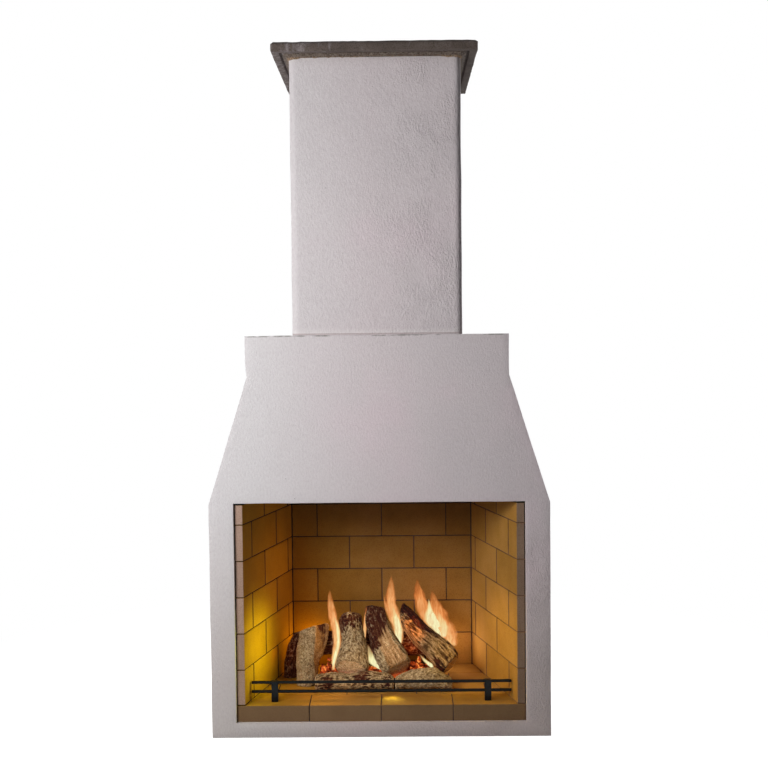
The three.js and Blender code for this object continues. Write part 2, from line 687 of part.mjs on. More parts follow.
function logEnds(shares) {
  const foot = new THREE.Vector3(shares.wall * liningBackWidth + shares.across * logLength,
    panCentreY + shares.along * panDepth, hearthHeight + shares.up * logLength);
  const back = THREE.MathUtils.degToRad(shares.back);
  const side = THREE.MathUtils.degToRad(shares.side);
  const lean = new THREE.Vector3(Math.sin(side), Math.cos(side) * Math.sin(back),
    Math.cos(side) * Math.cos(back));
  return [foot, foot.clone().addScaledVector(lean, shares.length * logLength)];
}
function logGeometry(shares, grow = 0) {
  const [foot, head] = logEnds(shares);
  return round(foot, head, shares.foot * logRadius, shares.head * logRadius, logLumpShare, shares.phase,
    grow);
}

const rearLogHalf = liningBackWidth / 2 - rearLogSideGap;
const rearLogY = panBack + rackGap + rackLegDepth / 2;
const rearLogZ = hearthHeight + rackLegHeight + rearLogRadius - rackCradleDepth;
const rearLogFoot = new THREE.Vector3(-rearLogOffset - rearLogHalf, rearLogY, rearLogZ);
const rearLogHead = new THREE.Vector3(-rearLogOffset + rearLogHalf, rearLogY, rearLogZ);
const rearLogPhase = 0.3;
const rearLogLumpShare = 0.03;
const rearLog = (grow) => round(rearLogFoot, rearLogHead, rearLogRadius, rearLogRadius, rearLogLumpShare,
  rearLogPhase, grow);
add("log_rear", rearLog(0), charredLog);

const belowHearth = block(-bodyHalfWidth, bodyHalfWidth, bodyFront, bodyBack, -cutOverrun, panBottom);
const emberRoom = embers(panBottom, emberTop + clearance);
const panRoom = block(-panHalf - clearance, panHalf + clearance, panFront - clearance, panBack + clearance,
  panBottom - clearance, panBottom + panHeight + clearance);
const placedLogs = [rearLog(clearance)];
for (const shares of logShares) {
  const material = shares.name === "log_left_rear" ? charredLog : ceramicLog;
  add(shares.name, cut(logGeometry(shares), belowHearth, panRoom, emberRoom, ...placedLogs), material);
  placedLogs.push(logGeometry(shares, clearance));
}

// Rack: two cradled legs and a rail, which hold the rear log behind the pan
const rackLegX = rearLogHalf - rackLegInset;
const rackLegHalf = rackLegDepth / 2;
function rackLeg(x) {
  return block(x - rackLegThickness / 2, x + rackLegThickness / 2, rearLogY - rackLegHalf,
    rearLogY + rackLegHalf, panBottom, panBottom + rackLegHeight);
}
const railBottom = panBottom + rackRailLift;
const railHalf = rackLegHalf / 2;
const rail = block(-rackLegX, rackLegX, rearLogY - railHalf, rearLogY + railHalf, railBottom,
  railBottom + rackRailHeight);
add("log_rack", cut(join(rackLeg(-rackLegX), rackLeg(rackLegX), rail), rearLog(clearance)), blackIron);

// Fender: two round bars through two posts, standing loose on the hearth
const fender = new THREE.Group();
fender.position.set(0, coreFront + fenderSetback, panBottom);
fireplace.add(fender);
const upperBarZ = fenderPostHeight - fenderBarRadius;
const fenderBars = { fender_bar_upper: upperBarZ, fender_bar_lower: upperBarZ - fenderBarPitch };
const fenderHalf = liningHalf(coreFront + fenderSetback + fenderBarRadius) - fenderEndGap;
for (const [name, z] of Object.entries(fenderBars)) {
  add(name, bar("x", fenderBarRadius, 2 * fenderHalf, [0, 0, 0]), blackIron, fender).position.z = z;
}
const postHalf = fenderPostWidth / 2;
const barHole = (z) => bar("x", fenderBarRadius + clearance, fenderPostWidth + 2 * cutOverrun, [0, 0, z]);
const postGeometry = cut(
  block(-postHalf, postHalf, -postHalf, postHalf, 0, fenderPostHeight),
  ...Object.values(fenderBars).map(barHole),
);
const fenderPostX = fenderHalf - fenderBarOverhang;
add("fender_post_left", postGeometry, blackIron, fender).position.x = -fenderPostX;
add("fender_post_right", postGeometry, blackIron, fender).position.x = fenderPostX;

export default fireplace;
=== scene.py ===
from contextlib import contextmanager
from functools import partial
from math import acos, atan2, cos, hypot, pi, radians, sin, tan

import bpy
from mathutils import Matrix, Vector, noise


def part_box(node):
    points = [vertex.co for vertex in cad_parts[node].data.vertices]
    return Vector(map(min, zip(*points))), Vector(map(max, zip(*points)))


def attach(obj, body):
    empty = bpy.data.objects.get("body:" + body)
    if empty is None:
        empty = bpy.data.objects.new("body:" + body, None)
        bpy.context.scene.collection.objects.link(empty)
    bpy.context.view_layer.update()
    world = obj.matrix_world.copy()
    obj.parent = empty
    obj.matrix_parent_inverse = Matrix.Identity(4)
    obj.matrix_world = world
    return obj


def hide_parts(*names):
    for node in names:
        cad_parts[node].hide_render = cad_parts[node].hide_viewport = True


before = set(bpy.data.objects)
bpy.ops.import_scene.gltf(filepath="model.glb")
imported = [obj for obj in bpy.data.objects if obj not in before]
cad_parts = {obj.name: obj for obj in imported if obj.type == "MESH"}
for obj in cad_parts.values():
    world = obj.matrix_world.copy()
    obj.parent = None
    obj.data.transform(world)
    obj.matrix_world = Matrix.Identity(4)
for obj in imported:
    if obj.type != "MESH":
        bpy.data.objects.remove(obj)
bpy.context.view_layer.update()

scene = bpy.context.scene
bpy.ops.object.select_all(action="DESELECT")

# The photograph's viewpoint: about four metres in front of the opening and a little to the right of its
# middle, at the height of the chimney's foot, tipped down by two and a half degrees.
photo_lens, photo_sensor = 52.45, 36
photo_place = Vector((0.0585, -3.9019, 1.2693))
turn, tip, roll = -0.0108, 0.0432, -0.0106
ahead = Vector((sin(turn) * cos(tip), cos(turn) * cos(tip), -sin(tip)))
level = Vector((cos(turn), -sin(turn), 0))
upright = level.cross(ahead)
right = cos(roll) * level + sin(roll) * upright
up = cos(roll) * upright - sin(roll) * level
camera_data = bpy.data.cameras.new("camera")
camera_data.lens, camera_data.sensor_width = photo_lens, photo_sensor
camera = bpy.data.objects.new("camera", camera_data)
camera.matrix_world = Matrix.Translation(photo_place) @ Matrix((right, up, -ahead)).transposed().to_4x4()
scene.collection.objects.link(camera)
scene.camera = camera
scene.view_settings.view_transform = "Standard"


# Studio: a pale floor that keeps the shadow close to the part and is plain white further off, under a
# white surround that only the camera and reflections see.
def hexed(code):
    """A colour written as sRGB hex, as linear light."""
    parts = [int(code[i:i + 2], 16) / 255 for i in (1, 3, 5)]
    return [p / 12.92 if p <= 0.04045 else ((p + 0.055) / 1.055) ** 2.4 for p in parts] + [1.0]


def joined(made, inputs):
    """Gives a node's inputs, by name or number, their values or other nodes' outputs."""
    for name, value in inputs.items():
        if isinstance(value, bpy.types.NodeSocket):
            made.id_data.links.new(value, made.inputs[name])
        else:
            made.inputs[name].default_value = value


def node(tree, kind, *values, out=0, stops=(), **named):
    """Adds one node and gives one of its outputs. Values go to its first inputs in turn, names with a
    capital to its other inputs, small names to its own settings, and stops to a ramp's colours."""
    made = tree.nodes.new("ShaderNode" + kind)
    for name, value in named.items():
        if name[0].islower():
            setattr(made, name, value)
    joined(made, dict(enumerate(values)))
    joined(made, {name: value for name, value in named.items() if name[0].isupper()})
    while stops and len(made.color_ramp.elements) < len(stops):
        made.color_ramp.elements.new(0.5)
    for i, (spot, code) in enumerate(stops):
        made.color_ramp.elements[i].position = spot
        made.color_ramp.elements[i].color = hexed(code)
    return made.outputs[out]


def surface(name, colour, roughness, metallic=0.0):
    """A new material with its colour, roughness and metallic set. It comes with the function that adds
    nodes to it, its shader, and the place on the piece that its patterns follow."""
    made = bpy.data.materials.new(name)
    made.use_nodes = True
    add = partial(node, made.node_tree)
    shader = made.node_tree.nodes["Principled BSDF"]
    joined(shader, {"Base Color": hexed(colour), "Roughness": roughness, "Metallic": metallic})
    return made, add, shader, add("TexCoord", out="Object")


def viewed(add):
    """1 for the camera's rays and for what metal and glass reflect, 0 for the light on the part."""
    path = add("LightPath").node.outputs
    ray = add("Math", path["Is Camera Ray"], path["Is Glossy Ray"], operation="MAXIMUM")
    return add("Math", ray, path["Is Transmission Ray"], operation="MAXIMUM")


bpy.ops.mesh.primitive_circle_add(vertices=96, radius=14, fill_type="NGON")
floor = bpy.context.object
floor.name = "studio_floor"
floor_paint, add, shader, place = surface("studio_floor_paint", "#f2f2f2", 0.9)
far = add("VectorMath", place, operation="LENGTH", out="Value")
fade = add("MapRange", far, 0.7, 1.9, interpolation_type="SMOOTHSTEP")
bright = add("Emission", Strength=add("MapRange", fade, 0.0, 1.0, 0.8, 1.0))
seen = add("AddShader", bright, add("MixShader", fade, shader.outputs["BSDF"]))
dull = add("BsdfDiffuse", hexed("#929292"))
joined(floor_paint.node_tree.nodes["Material Output"],
       {"Surface": add("MixShader", viewed(add), dull, seen)})
floor.data.materials.append(floor_paint)

surround = bpy.data.worlds.new("studio_surround")
surround.use_nodes = True
add = partial(node, surround.node_tree)
joined(surround.node_tree.nodes["Background"],
       {"Color": hexed("#ffffff"), "Strength": add("MapRange", viewed(add), 0.0, 1.0, 0.022, 1.0)})
scene.world = surround


def lamp(name, kind, place, power, colour="#ffffff", size=0.1, target=None, cone=None):
    """A lamp of kind POINT, AREA or SPOT, turned to its target."""
    light = bpy.data.lights.new(name, kind)
    light.energy, light.color = power, hexed(colour)[:3]
    if kind == "AREA":
        light.size = size
    else:
        light.shadow_soft_size = size
    if cone:
        light.spot_size, light.spot_blend = radians(cone), 1.0
    made = bpy.data.objects.new(name, light)
    made.location = place
    if target:
        made.rotation_euler = (Vector(target) - Vector(place)).to_track_quat("-Z", "Y").to_euler()
    made.visible_camera = False
    made.visible_glossy = kind == "AREA"
    scene.collection.objects.link(made)


lamp("key", "POINT", (-1.3, -1.9, 1.5), 156, size=0.4)
lamp("fill_back_right", "AREA", (2.3, 2.3, 2.3), 62, size=1.6, target=(0, 0, 1.0))
lamp("fill_back_left", "AREA", (-2.4, 2.0, 1.9), 42, size=1.6, target=(0, 0, 1.0))

# Base slab, core blocks, hood panels and top slab: cast aggregate concrete, grey and open grained, laid
# dry inside the stucco. Only the source's own solids show here, from above or through the flue. A
# pattern's scale is how often it repeats in a metre: 220 is grit of 4.5 mm, and 130 pores of 8 mm.
block_concrete, add, shader, place = surface("cast_aggregate_concrete", "#8f8a84", 0.95)
grit = add("TexNoise", place, Scale=220, Detail=4)
pores = add("TexVoronoi", place, Scale=130)
relief = add("Math", grit, pores, operation="MULTIPLY")
joined(shader, {"Base Color": add("ValToRGB", grit, stops=((0.3, "#716d68"), (0.7, "#a39e97"))),
                "Normal": add("Bump", Height=relief, Strength=0.6, Distance=0.002)})


def painted(source, material):
    """A source solid that shows as it is takes its material."""
    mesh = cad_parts[source].data
    mesh.materials.clear()
    mesh.materials.append(material)


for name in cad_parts:
    if name.startswith(("base_slab", "side_core", "back_core", "hood_", "chimney_block")):
        painted(name, block_concrete)

# Firebricks, nine by four and a half inches, pressed and fired: crisp arrises, fine sandy grain, each
# fired to its own shade. The heat has turned the faces inside ochre, and the outer ends stay taupe. The
# back wall darkens upwards, partly smoke and partly painted shade under the lintel; the left side is
# painted yellower for the firelight on it; the right ends are painted darker as shade; and a dark line
# painted on the ends along the jambs stands for the shade in the gap to the stucco. Their sand, under a
# millimetre, is drawn at 2.4 mm so that it shows.
brick_length, brick_width, joint_width, joint_recess = 0.2286, 0.1143, 0.0032, 0.002
brick_arris = 0.0016
hearth_top, hearth_half, lining_front = 0.100, 0.4655, -0.2877
firebrick, add, shader, place = surface("fired_clay_brick", "#a47d3c", 0.88)
shade = add("Attribute", attribute_name="firing", out="Fac")
cloud = add("TexNoise", place, Scale=11, Detail=5, Roughness=0.6)
sand = add("TexNoise", place, Scale=420, Detail=3)
fired = add("Math", add("Math", shade, cloud, operation="ADD"), 0.5, operation="MULTIPLY")
inside = add("ValToRGB", fired, stops=((0.25, "#8f6526"), (0.5, "#a67a38"), (0.75, "#b8894a")))
outside = add("ValToRGB", fired, stops=((0.25, "#9c8070"), (0.75, "#ba9c8b")))
low_face = add("ValToRGB", fired, stops=((0.25, "#70563c"), (0.75, "#866a4c")))
axes = add("SeparateXYZ", place).node.outputs
# Painted shade: the outer ends are darkened towards the right, from x 0.2 to 0.4.
right_end_painted_shade = add("MapRange", axes["X"], 0.2, 0.4)
outer = add("MixRGB", right_end_painted_shade, outside, hexed("#c2c2b8"), blend_type="MULTIPLY")
outer = add("MixRGB", add("MapRange", axes["Z"], 0.101, 0.0995), outer, low_face)
# The back wall is darkened upwards, partly smoke and partly painted shade under the lintel.
back_wall_soot_and_painted_shade = add("ValToRGB", add("MapRange", axes["Z"], 0.1, 0.76),
            stops=((0.15, "#f2f2f6"), (0.35, "#e4e2f0"), (0.75, "#e0dcec"), (0.94, "#cbc6d2")))
on_back_wall = add("MapRange", axes["Y"], 0.166, 0.169)
inside = add("MixRGB", on_back_wall, inside, back_wall_soot_and_painted_shade, blend_type="MULTIPLY")
# Painted light: the inside faces are made yellower towards the left, for the yellow firelight there.
left_painted_firelight = add("ValToRGB", add("MapRange", axes["X"], -0.45, 0.0),
            stops=((0.0, "#f8ff9c"), (0.3, "#fffaac"), (0.9, "#ffffff")))
inside = add("MixRGB", 1.0, inside, left_painted_firelight, blend_type="MULTIPLY")
front_face = add("MapRange", axes["Y"], -0.2860, -0.2872)
skin = add("MixRGB", front_face, inside, outer)
outward = add("Math", axes["X"], operation="ABSOLUTE")
# Painted shade: a dark line on the brick ends along each jamb stands for the shade in the gap to the stucco.
jamb_gap_painted_shade = add("Math", front_face, add("MapRange", outward, 0.4612, 0.4626), operation="MULTIPLY")
jamb_gap_painted_shade = add("Math", jamb_gap_painted_shade, add("MapRange", axes["Z"], 0.1, 0.101), operation="MULTIPLY")
skin = add("MixRGB", jamb_gap_painted_shade, skin, hexed("#1d1612"))
specks = add("ValToRGB", sand, stops=((0.32, "#b8b0a8"), (0.5, "#ffffff"), (0.72, "#ffffff")))
skin = add("MixRGB", 0.55, skin, specks, blend_type="MULTIPLY")
relief = add("Math", sand, cloud, operation="ADD")
joined(shader, {"Base Color": skin, "Normal": add("Bump", Height=relief, Strength=0.5, Distance=0.0008)})

# Their joints: thin, recessed fireclay mortar, black towards the left, brown grey in the middle and tan
# at the right, in drifts a hand wide, and painted black for the shadow under the lintel.
joint_mortar, add, shader, place = surface("smoked_fireclay_mortar", "#4b3a30", 0.95)
grain = add("TexNoise", place, Scale=7, Detail=8, Roughness=0.7)
axes = add("SeparateXYZ", place).node.outputs
drawn = add("ValToRGB", add("MapRange", axes["X"], -0.45, 0.45),
            stops=((0.0, "#4a3520"), (0.13, "#1c140e"), (0.2, "#18120e"), (0.45, "#5c4c48"),
                   (0.75, "#5a4b48"), (0.85, "#4a3e38"), (0.88, "#76584a"), (1.0, "#7c6050")))
mottled = add("ValToRGB", grain, stops=((0.35, "#8c8c8c"), (0.65, "#ffffff")))
skin = add("MixRGB", 1.0, drawn, mottled, blend_type="MULTIPLY")
# Painted shadow: the joints close under the lintel are painted near black.
under_lintel = add("MapRange", axes["Z"], 0.749, 0.7495)
joined(shader, {"Base Color": add("MixRGB", under_lintel, skin, hexed("#0b0806"))})


def loose():
    """Leaves nothing selected and nothing active."""
    bpy.ops.object.select_all(action="DESELECT")
    bpy.context.view_layer.objects.active = None


@contextmanager
def editing():
    """Edit mode, for what is done inside it."""
    bpy.ops.object.mode_set(mode="EDIT")
    yield
    bpy.ops.object.mode_set(mode="OBJECT")


def box_in(low, high):
    """Adds a box between two corners, in the mesh that is being edited or as a new object."""
    size = [b - a for a, b in zip(low, high)]
    middle = [(a + b) / 2 for a, b in zip(low, high)]
    bpy.ops.mesh.primitive_cube_add(size=1, location=middle, scale=size)


def firing(*key):
    """One brick's own shade from 0 to 1, the same in each run."""
    return 0.5 + 0.5 * noise.noise(Vector(key) * 3.71 + Vector((0.37, 0.11, 0.53)))


def noted(piece, **values):
    """Keeps a value for each point of the piece, for its material to read."""
    for label, points in values.items():
        piece.data.attributes.new(label, "FLOAT", "POINT").data.foreach_set("value", points)


def laid_bricks(name, bricks, bed, key, smears=()):
    """Bricks as boxes (low, high) over one bed of recessed mortar, in the wall's own flat frame. Smears
    are joints struck flush, as boxes with ragged edges."""
    loose()
    box_in(*bricks[0])
    piece = bpy.context.object
    bpy.ops.object.transform_apply(location=True, rotation=True, scale=True)
    piece.name = name
    piece.data.materials.append(firebrick)
    piece.data.materials.append(joint_mortar)
    with editing():
        for low, high in bricks[1:]:
            box_in(low, high)
        bpy.ops.mesh.select_all(action="SELECT")
        bpy.ops.mesh.bevel(offset=brick_arris, segments=2, affect="EDGES")
        bpy.ops.mesh.select_all(action="DESELECT")
        box_in(*bed)
        piece.active_material_index = 1
        bpy.ops.object.material_slot_assign()
    smooth_count = len(piece.data.vertices)
    with editing():
        for low, high in smears:
            bpy.ops.mesh.select_all(action="DESELECT")
            box_in(low, high)
            bpy.ops.mesh.subdivide(number_cuts=5)
            bpy.ops.object.material_slot_assign()
    for vertex in piece.data.vertices[smooth_count:]:
        vertex.co.x += 0.0016 * noise.noise(vertex.co * 90 + Vector((key, 0, 0)))
    shades = []
    for vertex in piece.data.vertices:
        index = next((i for i, (low, high) in enumerate(bricks)
                      if low[0] - 1e-5 <= vertex.co.x <= high[0] + 1e-5), 0)
        shades.append(firing(key, index, 0.5))
    noted(piece, firing=shades)
    return piece


def dressed(piece, *nodes, body="root", slot=None):
    """The piece rides on its body and stands for those nodes."""
    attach(piece, body)
    if nodes:
        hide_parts(*nodes)


def runs(start, end, joints):
    """The stretches between joints, each joint one mortar width."""
    edges = [start] + [j for j in joints if start < j < end] + [end]
    half = joint_width / 2
    return [(a + (half if i else 0), b - (half if i < len(edges) - 2 else 0))
            for i, (a, b) in enumerate(zip(edges, edges[1:]))]


row_pitch = brick_width + joint_width
stretch = brick_length + joint_width
slab_top = 0.037
for row in range(4):
    front = lining_front + row * row_pitch
    first = -stretch if row % 2 == 0 else -1.5 * stretch
    bricks = []
    for i, (a, b) in enumerate(runs(-hearth_half, hearth_half, [first + k * stretch for k in range(4)])):
        proud = 0.0006 * (firing(row, i, 2.5) - 0.5)
        bricks.append(((a, front, slab_top), (b, front + brick_width, hearth_top + proud - 0.0003)))
    bed = ((-hearth_half + 0.001, front + joint_recess, slab_top),
           (hearth_half - 0.001, front + row_pitch - 0.0004, hearth_top - joint_recess))
    dressed(laid_bricks(f"hearth_bricks_{row + 1}", bricks, bed, 10 + row),
            f"hearth_row_{row + 1}", slot="firebrick")

# Lining: firebrick splits on edge in stretcher bond, six courses high, the last one cut under the lintel.
# The side walls splay, so their front bricks are mitred flush with the face of the opening, and some of
# their upright joints are struck flush. A hair is left between a wall's courses and its neighbours.
split = 0.032
lining_back, lining_top, under_angle = 0.172, 0.7547, 0.7494
front_half, back_half = 0.438, 0.323
slant = hypot(front_half - back_half, lining_back - lining_front)
lean = (front_half - back_half) / (lining_back - lining_front)
hair, smear_half = 0.0003, 0.003
for course in range(6):
    low = hearth_top + course * row_pitch + 0.0004
    high = min(low + brick_width, lining_top)
    bed_top = min(low + row_pitch - hair, lining_top)
    odd = course % 2 == 0
    wall = back_half + split * 1.03
    joints = [(-stretch if odd else -stretch / 2) + k * stretch for k in range(4)]
    bricks = []
    for i, (a, b) in enumerate(runs(-wall, wall, joints)):
        proud = 0.0007 * (firing(course, i, 4.5) - 0.5)
        bricks.append(((a, lining_back + 0.0004 + proud, low), (b, lining_back + split, high)))
    bed = ((-wall + 0.001, lining_back + joint_recess, low),
           (wall - 0.001, lining_back + split - 0.001, bed_top))
    corners = []
    for side in (-1, 1):
        near_x, far_x = sorted((side * (back_half - 0.003), side * (back_half + 0.001)))
        corners.append(((near_x, lining_back - 0.0025, low), (far_x, lining_back + 0.003, bed_top)))
    dressed(laid_bricks(f"back_bricks_{course + 1}", bricks, bed, 30 + course, corners),
            f"back_course_{course + 1}", slot="firebrick")
    foot, head = low + (0.003 if course == 0 else 0), min(high, under_angle)
    joints = [(0.080 if odd else 0.198) + k * stretch for k in range(3)]
    bed = ((0.002, joint_recess, low), (slant - 0.001, split - 0.001, bed_top))
    smears = [((j - smear_half, -0.0001, foot), (j + smear_half, 0.003, head))
              for j in joints if j < slant - 0.01]
    for side, label in ((-1, "left"), (1, "right")):
        bricks = []
        for i, (a, b) in enumerate(runs(hair, slant - hair, joints)):
            proud = 0.0007 * (firing(course, i, 6.5 + side) - 0.5)
            bricks.append(((a, hair + proud, foot), (b, split, head)))
        piece = laid_bricks(f"{label}_bricks_{course + 1}", bricks, bed, 50 + 10 * side + course, smears)
        along = Vector((-(front_half - back_half), lining_back - lining_front)) / slant
        piece.data.transform(Matrix(((side * along.x, side * hypot(1, lean), 0, side * front_half),
                                     (along.y, 0, 0, lining_front), (0, 0, 1, 0), (0, 0, 0, 1))))
        if side > 0:
            piece.data.flip_normals()
        dressed(piece, f"{label}_course_{course + 1}", slot="firebrick")

# Lintel: a rolled steel angle over the opening, black with heat, in flakes of scale 17 mm wide, which
# carries the front panel. It shows as a thin dark line under the stucco.
heat_blacked_steel, add, shader, place = surface("heat_blacked_mild_steel", "#26221f", 0.6, 0.7)
scale = add("TexNoise", place, Scale=60, Detail=5)
joined(shader, {"Base Color": add("ValToRGB", scale,
                                  stops=((0.35, "#1b1918"), (0.62, "#2e2a27"), (0.75, "#4a3022"))),
                "Roughness": add("MapRange", scale, 0.0, 1.0, 0.4, 0.8),
                "Normal": add("Bump", Height=scale, Strength=0.3, Distance=0.0006)})


def alone(piece):
    """Leaves only that piece selected and active."""
    loose()
    piece.select_set(True)
    bpy.context.view_layer.objects.active = piece


def cast_copy(source, name, arris, angle=25, segments=2):
    """A merged copy of a CAD node, its flat faces made whole and its arrises rounded."""
    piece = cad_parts[source].copy()
    piece.data = piece.data.copy()
    piece.name = name
    piece.parent = None
    for key in [k for k in piece.keys() if k.startswith("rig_")]:
        del piece[key]
    piece.matrix_world = Matrix.Identity(4)
    scene.collection.objects.link(piece)
    alone(piece)
    with editing():
        bpy.ops.mesh.select_mode(type="EDGE")
        bpy.ops.mesh.select_all(action="SELECT")
        bpy.ops.mesh.remove_doubles(threshold=0.00002)
        bpy.ops.mesh.dissolve_limited(angle_limit=radians(2))
        bpy.ops.mesh.select_all(action="DESELECT")
        bpy.ops.mesh.edges_select_sharp(sharpness=radians(angle))
        if arris:
            bpy.ops.mesh.bevel(offset=arris, segments=segments, affect="EDGES", clamp_overlap=True)
    piece.data.materials.clear()
    return piece


def finished(piece, material, *nodes, slot=None, body="root", angle=40):
    """The piece takes its material, is shaded smooth apart from its real arrises, rides on its body and
    stands for those nodes."""
    piece.data.materials.append(material)
    if angle:
        alone(piece)
        bpy.ops.object.shade_smooth_by_angle(angle=radians(angle))
    dressed(piece, *nodes, body=body, slot=slot)


finished(cast_copy("lintel_angle", "rolled_lintel_angle", 0.0012), heat_blacked_steel, "lintel_angle",
         slot="black_steel")

# Flue liners: extruded terracotta, stacked inside the chimney blocks. They show only from above, through
# the cap's opening, where the smoke has darkened them in drifts of 70 mm.
sooted_clay, add, shader, place = surface("sooted_terracotta", "#a5603c", 0.85)
soot = add("TexNoise", place, Scale=14, Detail=6, Roughness=0.65)
joined(shader, {"Base Color": add("ValToRGB", soot,
                                  stops=((0.35, "#2a201b"), (0.6, "#5c3c2a"), (0.8, "#95583a")))})
painted("flue_liner_1", sooted_clay)
painted("flue_liner_2", sooted_clay)

# Mortar bed under the cap: struck by trowel over the stucco's top edge, speckled tan where it thins out,
# and painted a darker grey brown close under the cap for the cap's shade, ragged and a little lower at the
# corners. Its crumbs are 11 mm, and its sand, about a millimetre, is drawn at 4 mm so that it shows.
cap_low, cap_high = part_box("chimney_cap")
bed_mortar, add, shader, place = surface("struck_bed_mortar", "#7d6a58", 0.95)
crumbs = add("TexNoise", place, Scale=90, Detail=6, Roughness=0.7)
sand = add("TexNoise", place, Scale=260, Detail=3)
height = add("SeparateXYZ", place, out="Z")
height = add("Math", crumbs, 0.012, height, operation="MULTIPLY_ADD")
# Painted shade: the mortar is a darker grey brown within a few millimetres under the cap.
skin = add("MixRGB", add("MapRange", height, cap_low.z, cap_low.z - 0.004),
           add("ValToRGB", crumbs, stops=((0.35, "#574a41"), (0.65, "#8b7d72"))),
           add("ValToRGB", crumbs, stops=((0.35, "#8a6f58"), (0.65, "#b59a80"))))
specks = add("ValToRGB", sand, stops=((0.36, "#7c7c7c"), (0.54, "#ffffff")))
relief = add("Math", sand, crumbs, operation="ADD")
joined(shader, {"Base Color": add("MixRGB", 1.0, skin, specks, blend_type="MULTIPLY"),
                "Normal": add("Bump", Height=relief, Strength=0.9, Distance=0.003)})
finished(cast_copy("cap_mortar_bed", "laid_mortar_bed", 0.002), bed_mortar, "cap_mortar_bed",
         slot="mortar")

flue_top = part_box("stucco_chimney")[1]
fillet_reach, fillet_drop, fillet_wall, corner_round = 0.019, 0.011, 0.002, 0.022
loose()
box_in((-flue_top.x, -flue_top.y, cap_low.z - fillet_drop), (flue_top.x, flue_top.y, cap_low.z - 0.0004))
fillet = bpy.context.object
fillet.name = "struck_mortar_fillet"
bpy.ops.object.transform_apply(location=True, rotation=True, scale=True)
with editing():
    bpy.ops.mesh.select_mode(type="EDGE")
    bpy.ops.mesh.select_all(action="DESELECT")
for edge in fillet.data.edges:
    a, b = (fillet.data.vertices[i].co for i in edge.vertices)
    edge.select = abs(a.z - b.z) > 0.005
with editing():
    bpy.ops.mesh.bevel(offset=corner_round, segments=4, affect="EDGES")
    bpy.ops.mesh.select_mode(type="FACE")
    bpy.ops.mesh.select_all(action="DESELECT")
for face in fillet.data.polygons:
    face.select = abs(face.normal.z) > 0.9
with editing():
    bpy.ops.mesh.delete(type="FACE")
for vertex in fillet.data.vertices:
    if vertex.co.z > cap_low.z - 0.005:
        grown = 1 + fillet_reach / flue_top.x
        vertex.co.x, vertex.co.y = vertex.co.x * grown, vertex.co.y * grown


def sliced(piece, spacing, low, high):
    """Cuts the piece's faces along planes at an even spacing, so that they can be made uneven."""
    with editing():
        for axis in range(3):
            count = max(1, round((high[axis] - low[axis]) / spacing))
            for k in range(1, count):
                at, facing = [0, 0, 0], [0, 0, 0]
                at[axis] = low[axis] + (high[axis] - low[axis]) * k / count
                facing[axis] = 1
                bpy.ops.mesh.select_all(action="SELECT")
                bpy.ops.mesh.bisect(plane_co=at, plane_no=facing, threshold=0.00002)


sliced(fillet, 0.006, (-0.291, -0.291, cap_low.z - fillet_drop), (0.291, 0.291, cap_low.z))
for vertex in fillet.data.vertices:
    ragged = noise.noise(vertex.co * 17) + 0.8 * noise.noise(vertex.co * 84)
    corner = min(abs(vertex.co.x), abs(vertex.co.y)) / flue_top.x
    if vertex.co.z < cap_low.z - 0.009:
        vertex.co.z += 0.004 - 0.0075 * max(0, corner - 0.45) + 0.0048 * ragged
    elif vertex.co.z < cap_low.z - 0.001:
        vertex.co.x *= 1 + 0.006 * ragged
        vertex.co.y *= 1 + 0.006 * ragged
thick = fillet.modifiers.new("thick", "SOLIDIFY")
thick.thickness, thick.offset = fillet_wall, -1
alone(fillet)
bpy.ops.object.modifier_apply(modifier="thick")
finished(fillet, bed_mortar, slot="mortar", angle=50)

# Chimney cap: a cast concrete slab with chamfered top edges and a drip groove underneath, weathered dark
# brown grey with pale lime bloom, most on its left, and chipped along its arrises. The bloom's streaks
# are 18 mm wide, and the sand, about a millimetre, is drawn at 2.6 mm so that it shows.
cap_concrete, add, shader, place = surface("weathered_cast_concrete", "#5d534e", 0.9)
drift = add("TexNoise", place, Scale=16, Detail=6, Roughness=0.62)
streaked = add("Mapping", place, Scale=(1, 1, 0.3))
bloom = add("TexNoise", streaked, Scale=55, Detail=5, Roughness=0.7)
sand = add("TexNoise", place, Scale=380, Detail=2)
base = add("ValToRGB", drift, stops=((0.3, "#554b45"), (0.55, "#655a54"), (0.75, "#746963")))
left_part = add("MapRange", add("SeparateXYZ", place), 0.02, -0.26)
veil = add("Math", left_part, 0.16, -0.08, operation="MULTIPLY_ADD")
veil = add("Math", bloom, veil, operation="ADD")
lime = add("ValToRGB", veil, stops=((0.54, "#000000"), (0.68, "#c0c0c0")))
skin = add("MixRGB", lime, base, hexed("#a79da0"))
grit = add("ValToRGB", sand, stops=((0.33, "#8a8a8a"), (0.5, "#ffffff"), (0.7, "#ffffff")))
relief = add("Math", sand, bloom, operation="ADD")
joined(shader, {"Base Color": add("MixRGB", 0.8, skin, grit, blend_type="MULTIPLY"),
                "Normal": add("Bump", Height=relief, Strength=0.7, Distance=0.0015)})
cap = cast_copy("chimney_cap", "weathered_cap", 0.0016)
sliced(cap, 0.016, cap_low, cap_high)


def roughened(piece, amount, size, outside):
    """Moves each outer vertex along its normal by smooth noise of that size, at most by amount."""
    moves = []
    for vertex in piece.data.vertices:
        share = outside(vertex.co)
        swell = noise.noise(vertex.co / size) + 0.4 * noise.noise(vertex.co / (size * 0.37))
        moves.append(vertex.normal * (amount * share * swell / 1.4))
    for vertex, move in zip(piece.data.vertices, moves):
        vertex.co += move
    piece.data.update()


def chipped(point):
    """Chips go deeper on the cap's outer edges than on its faces."""
    return 1.0 if max(abs(point.x), abs(point.y)) > cap_high.x - 0.018 else 0.25


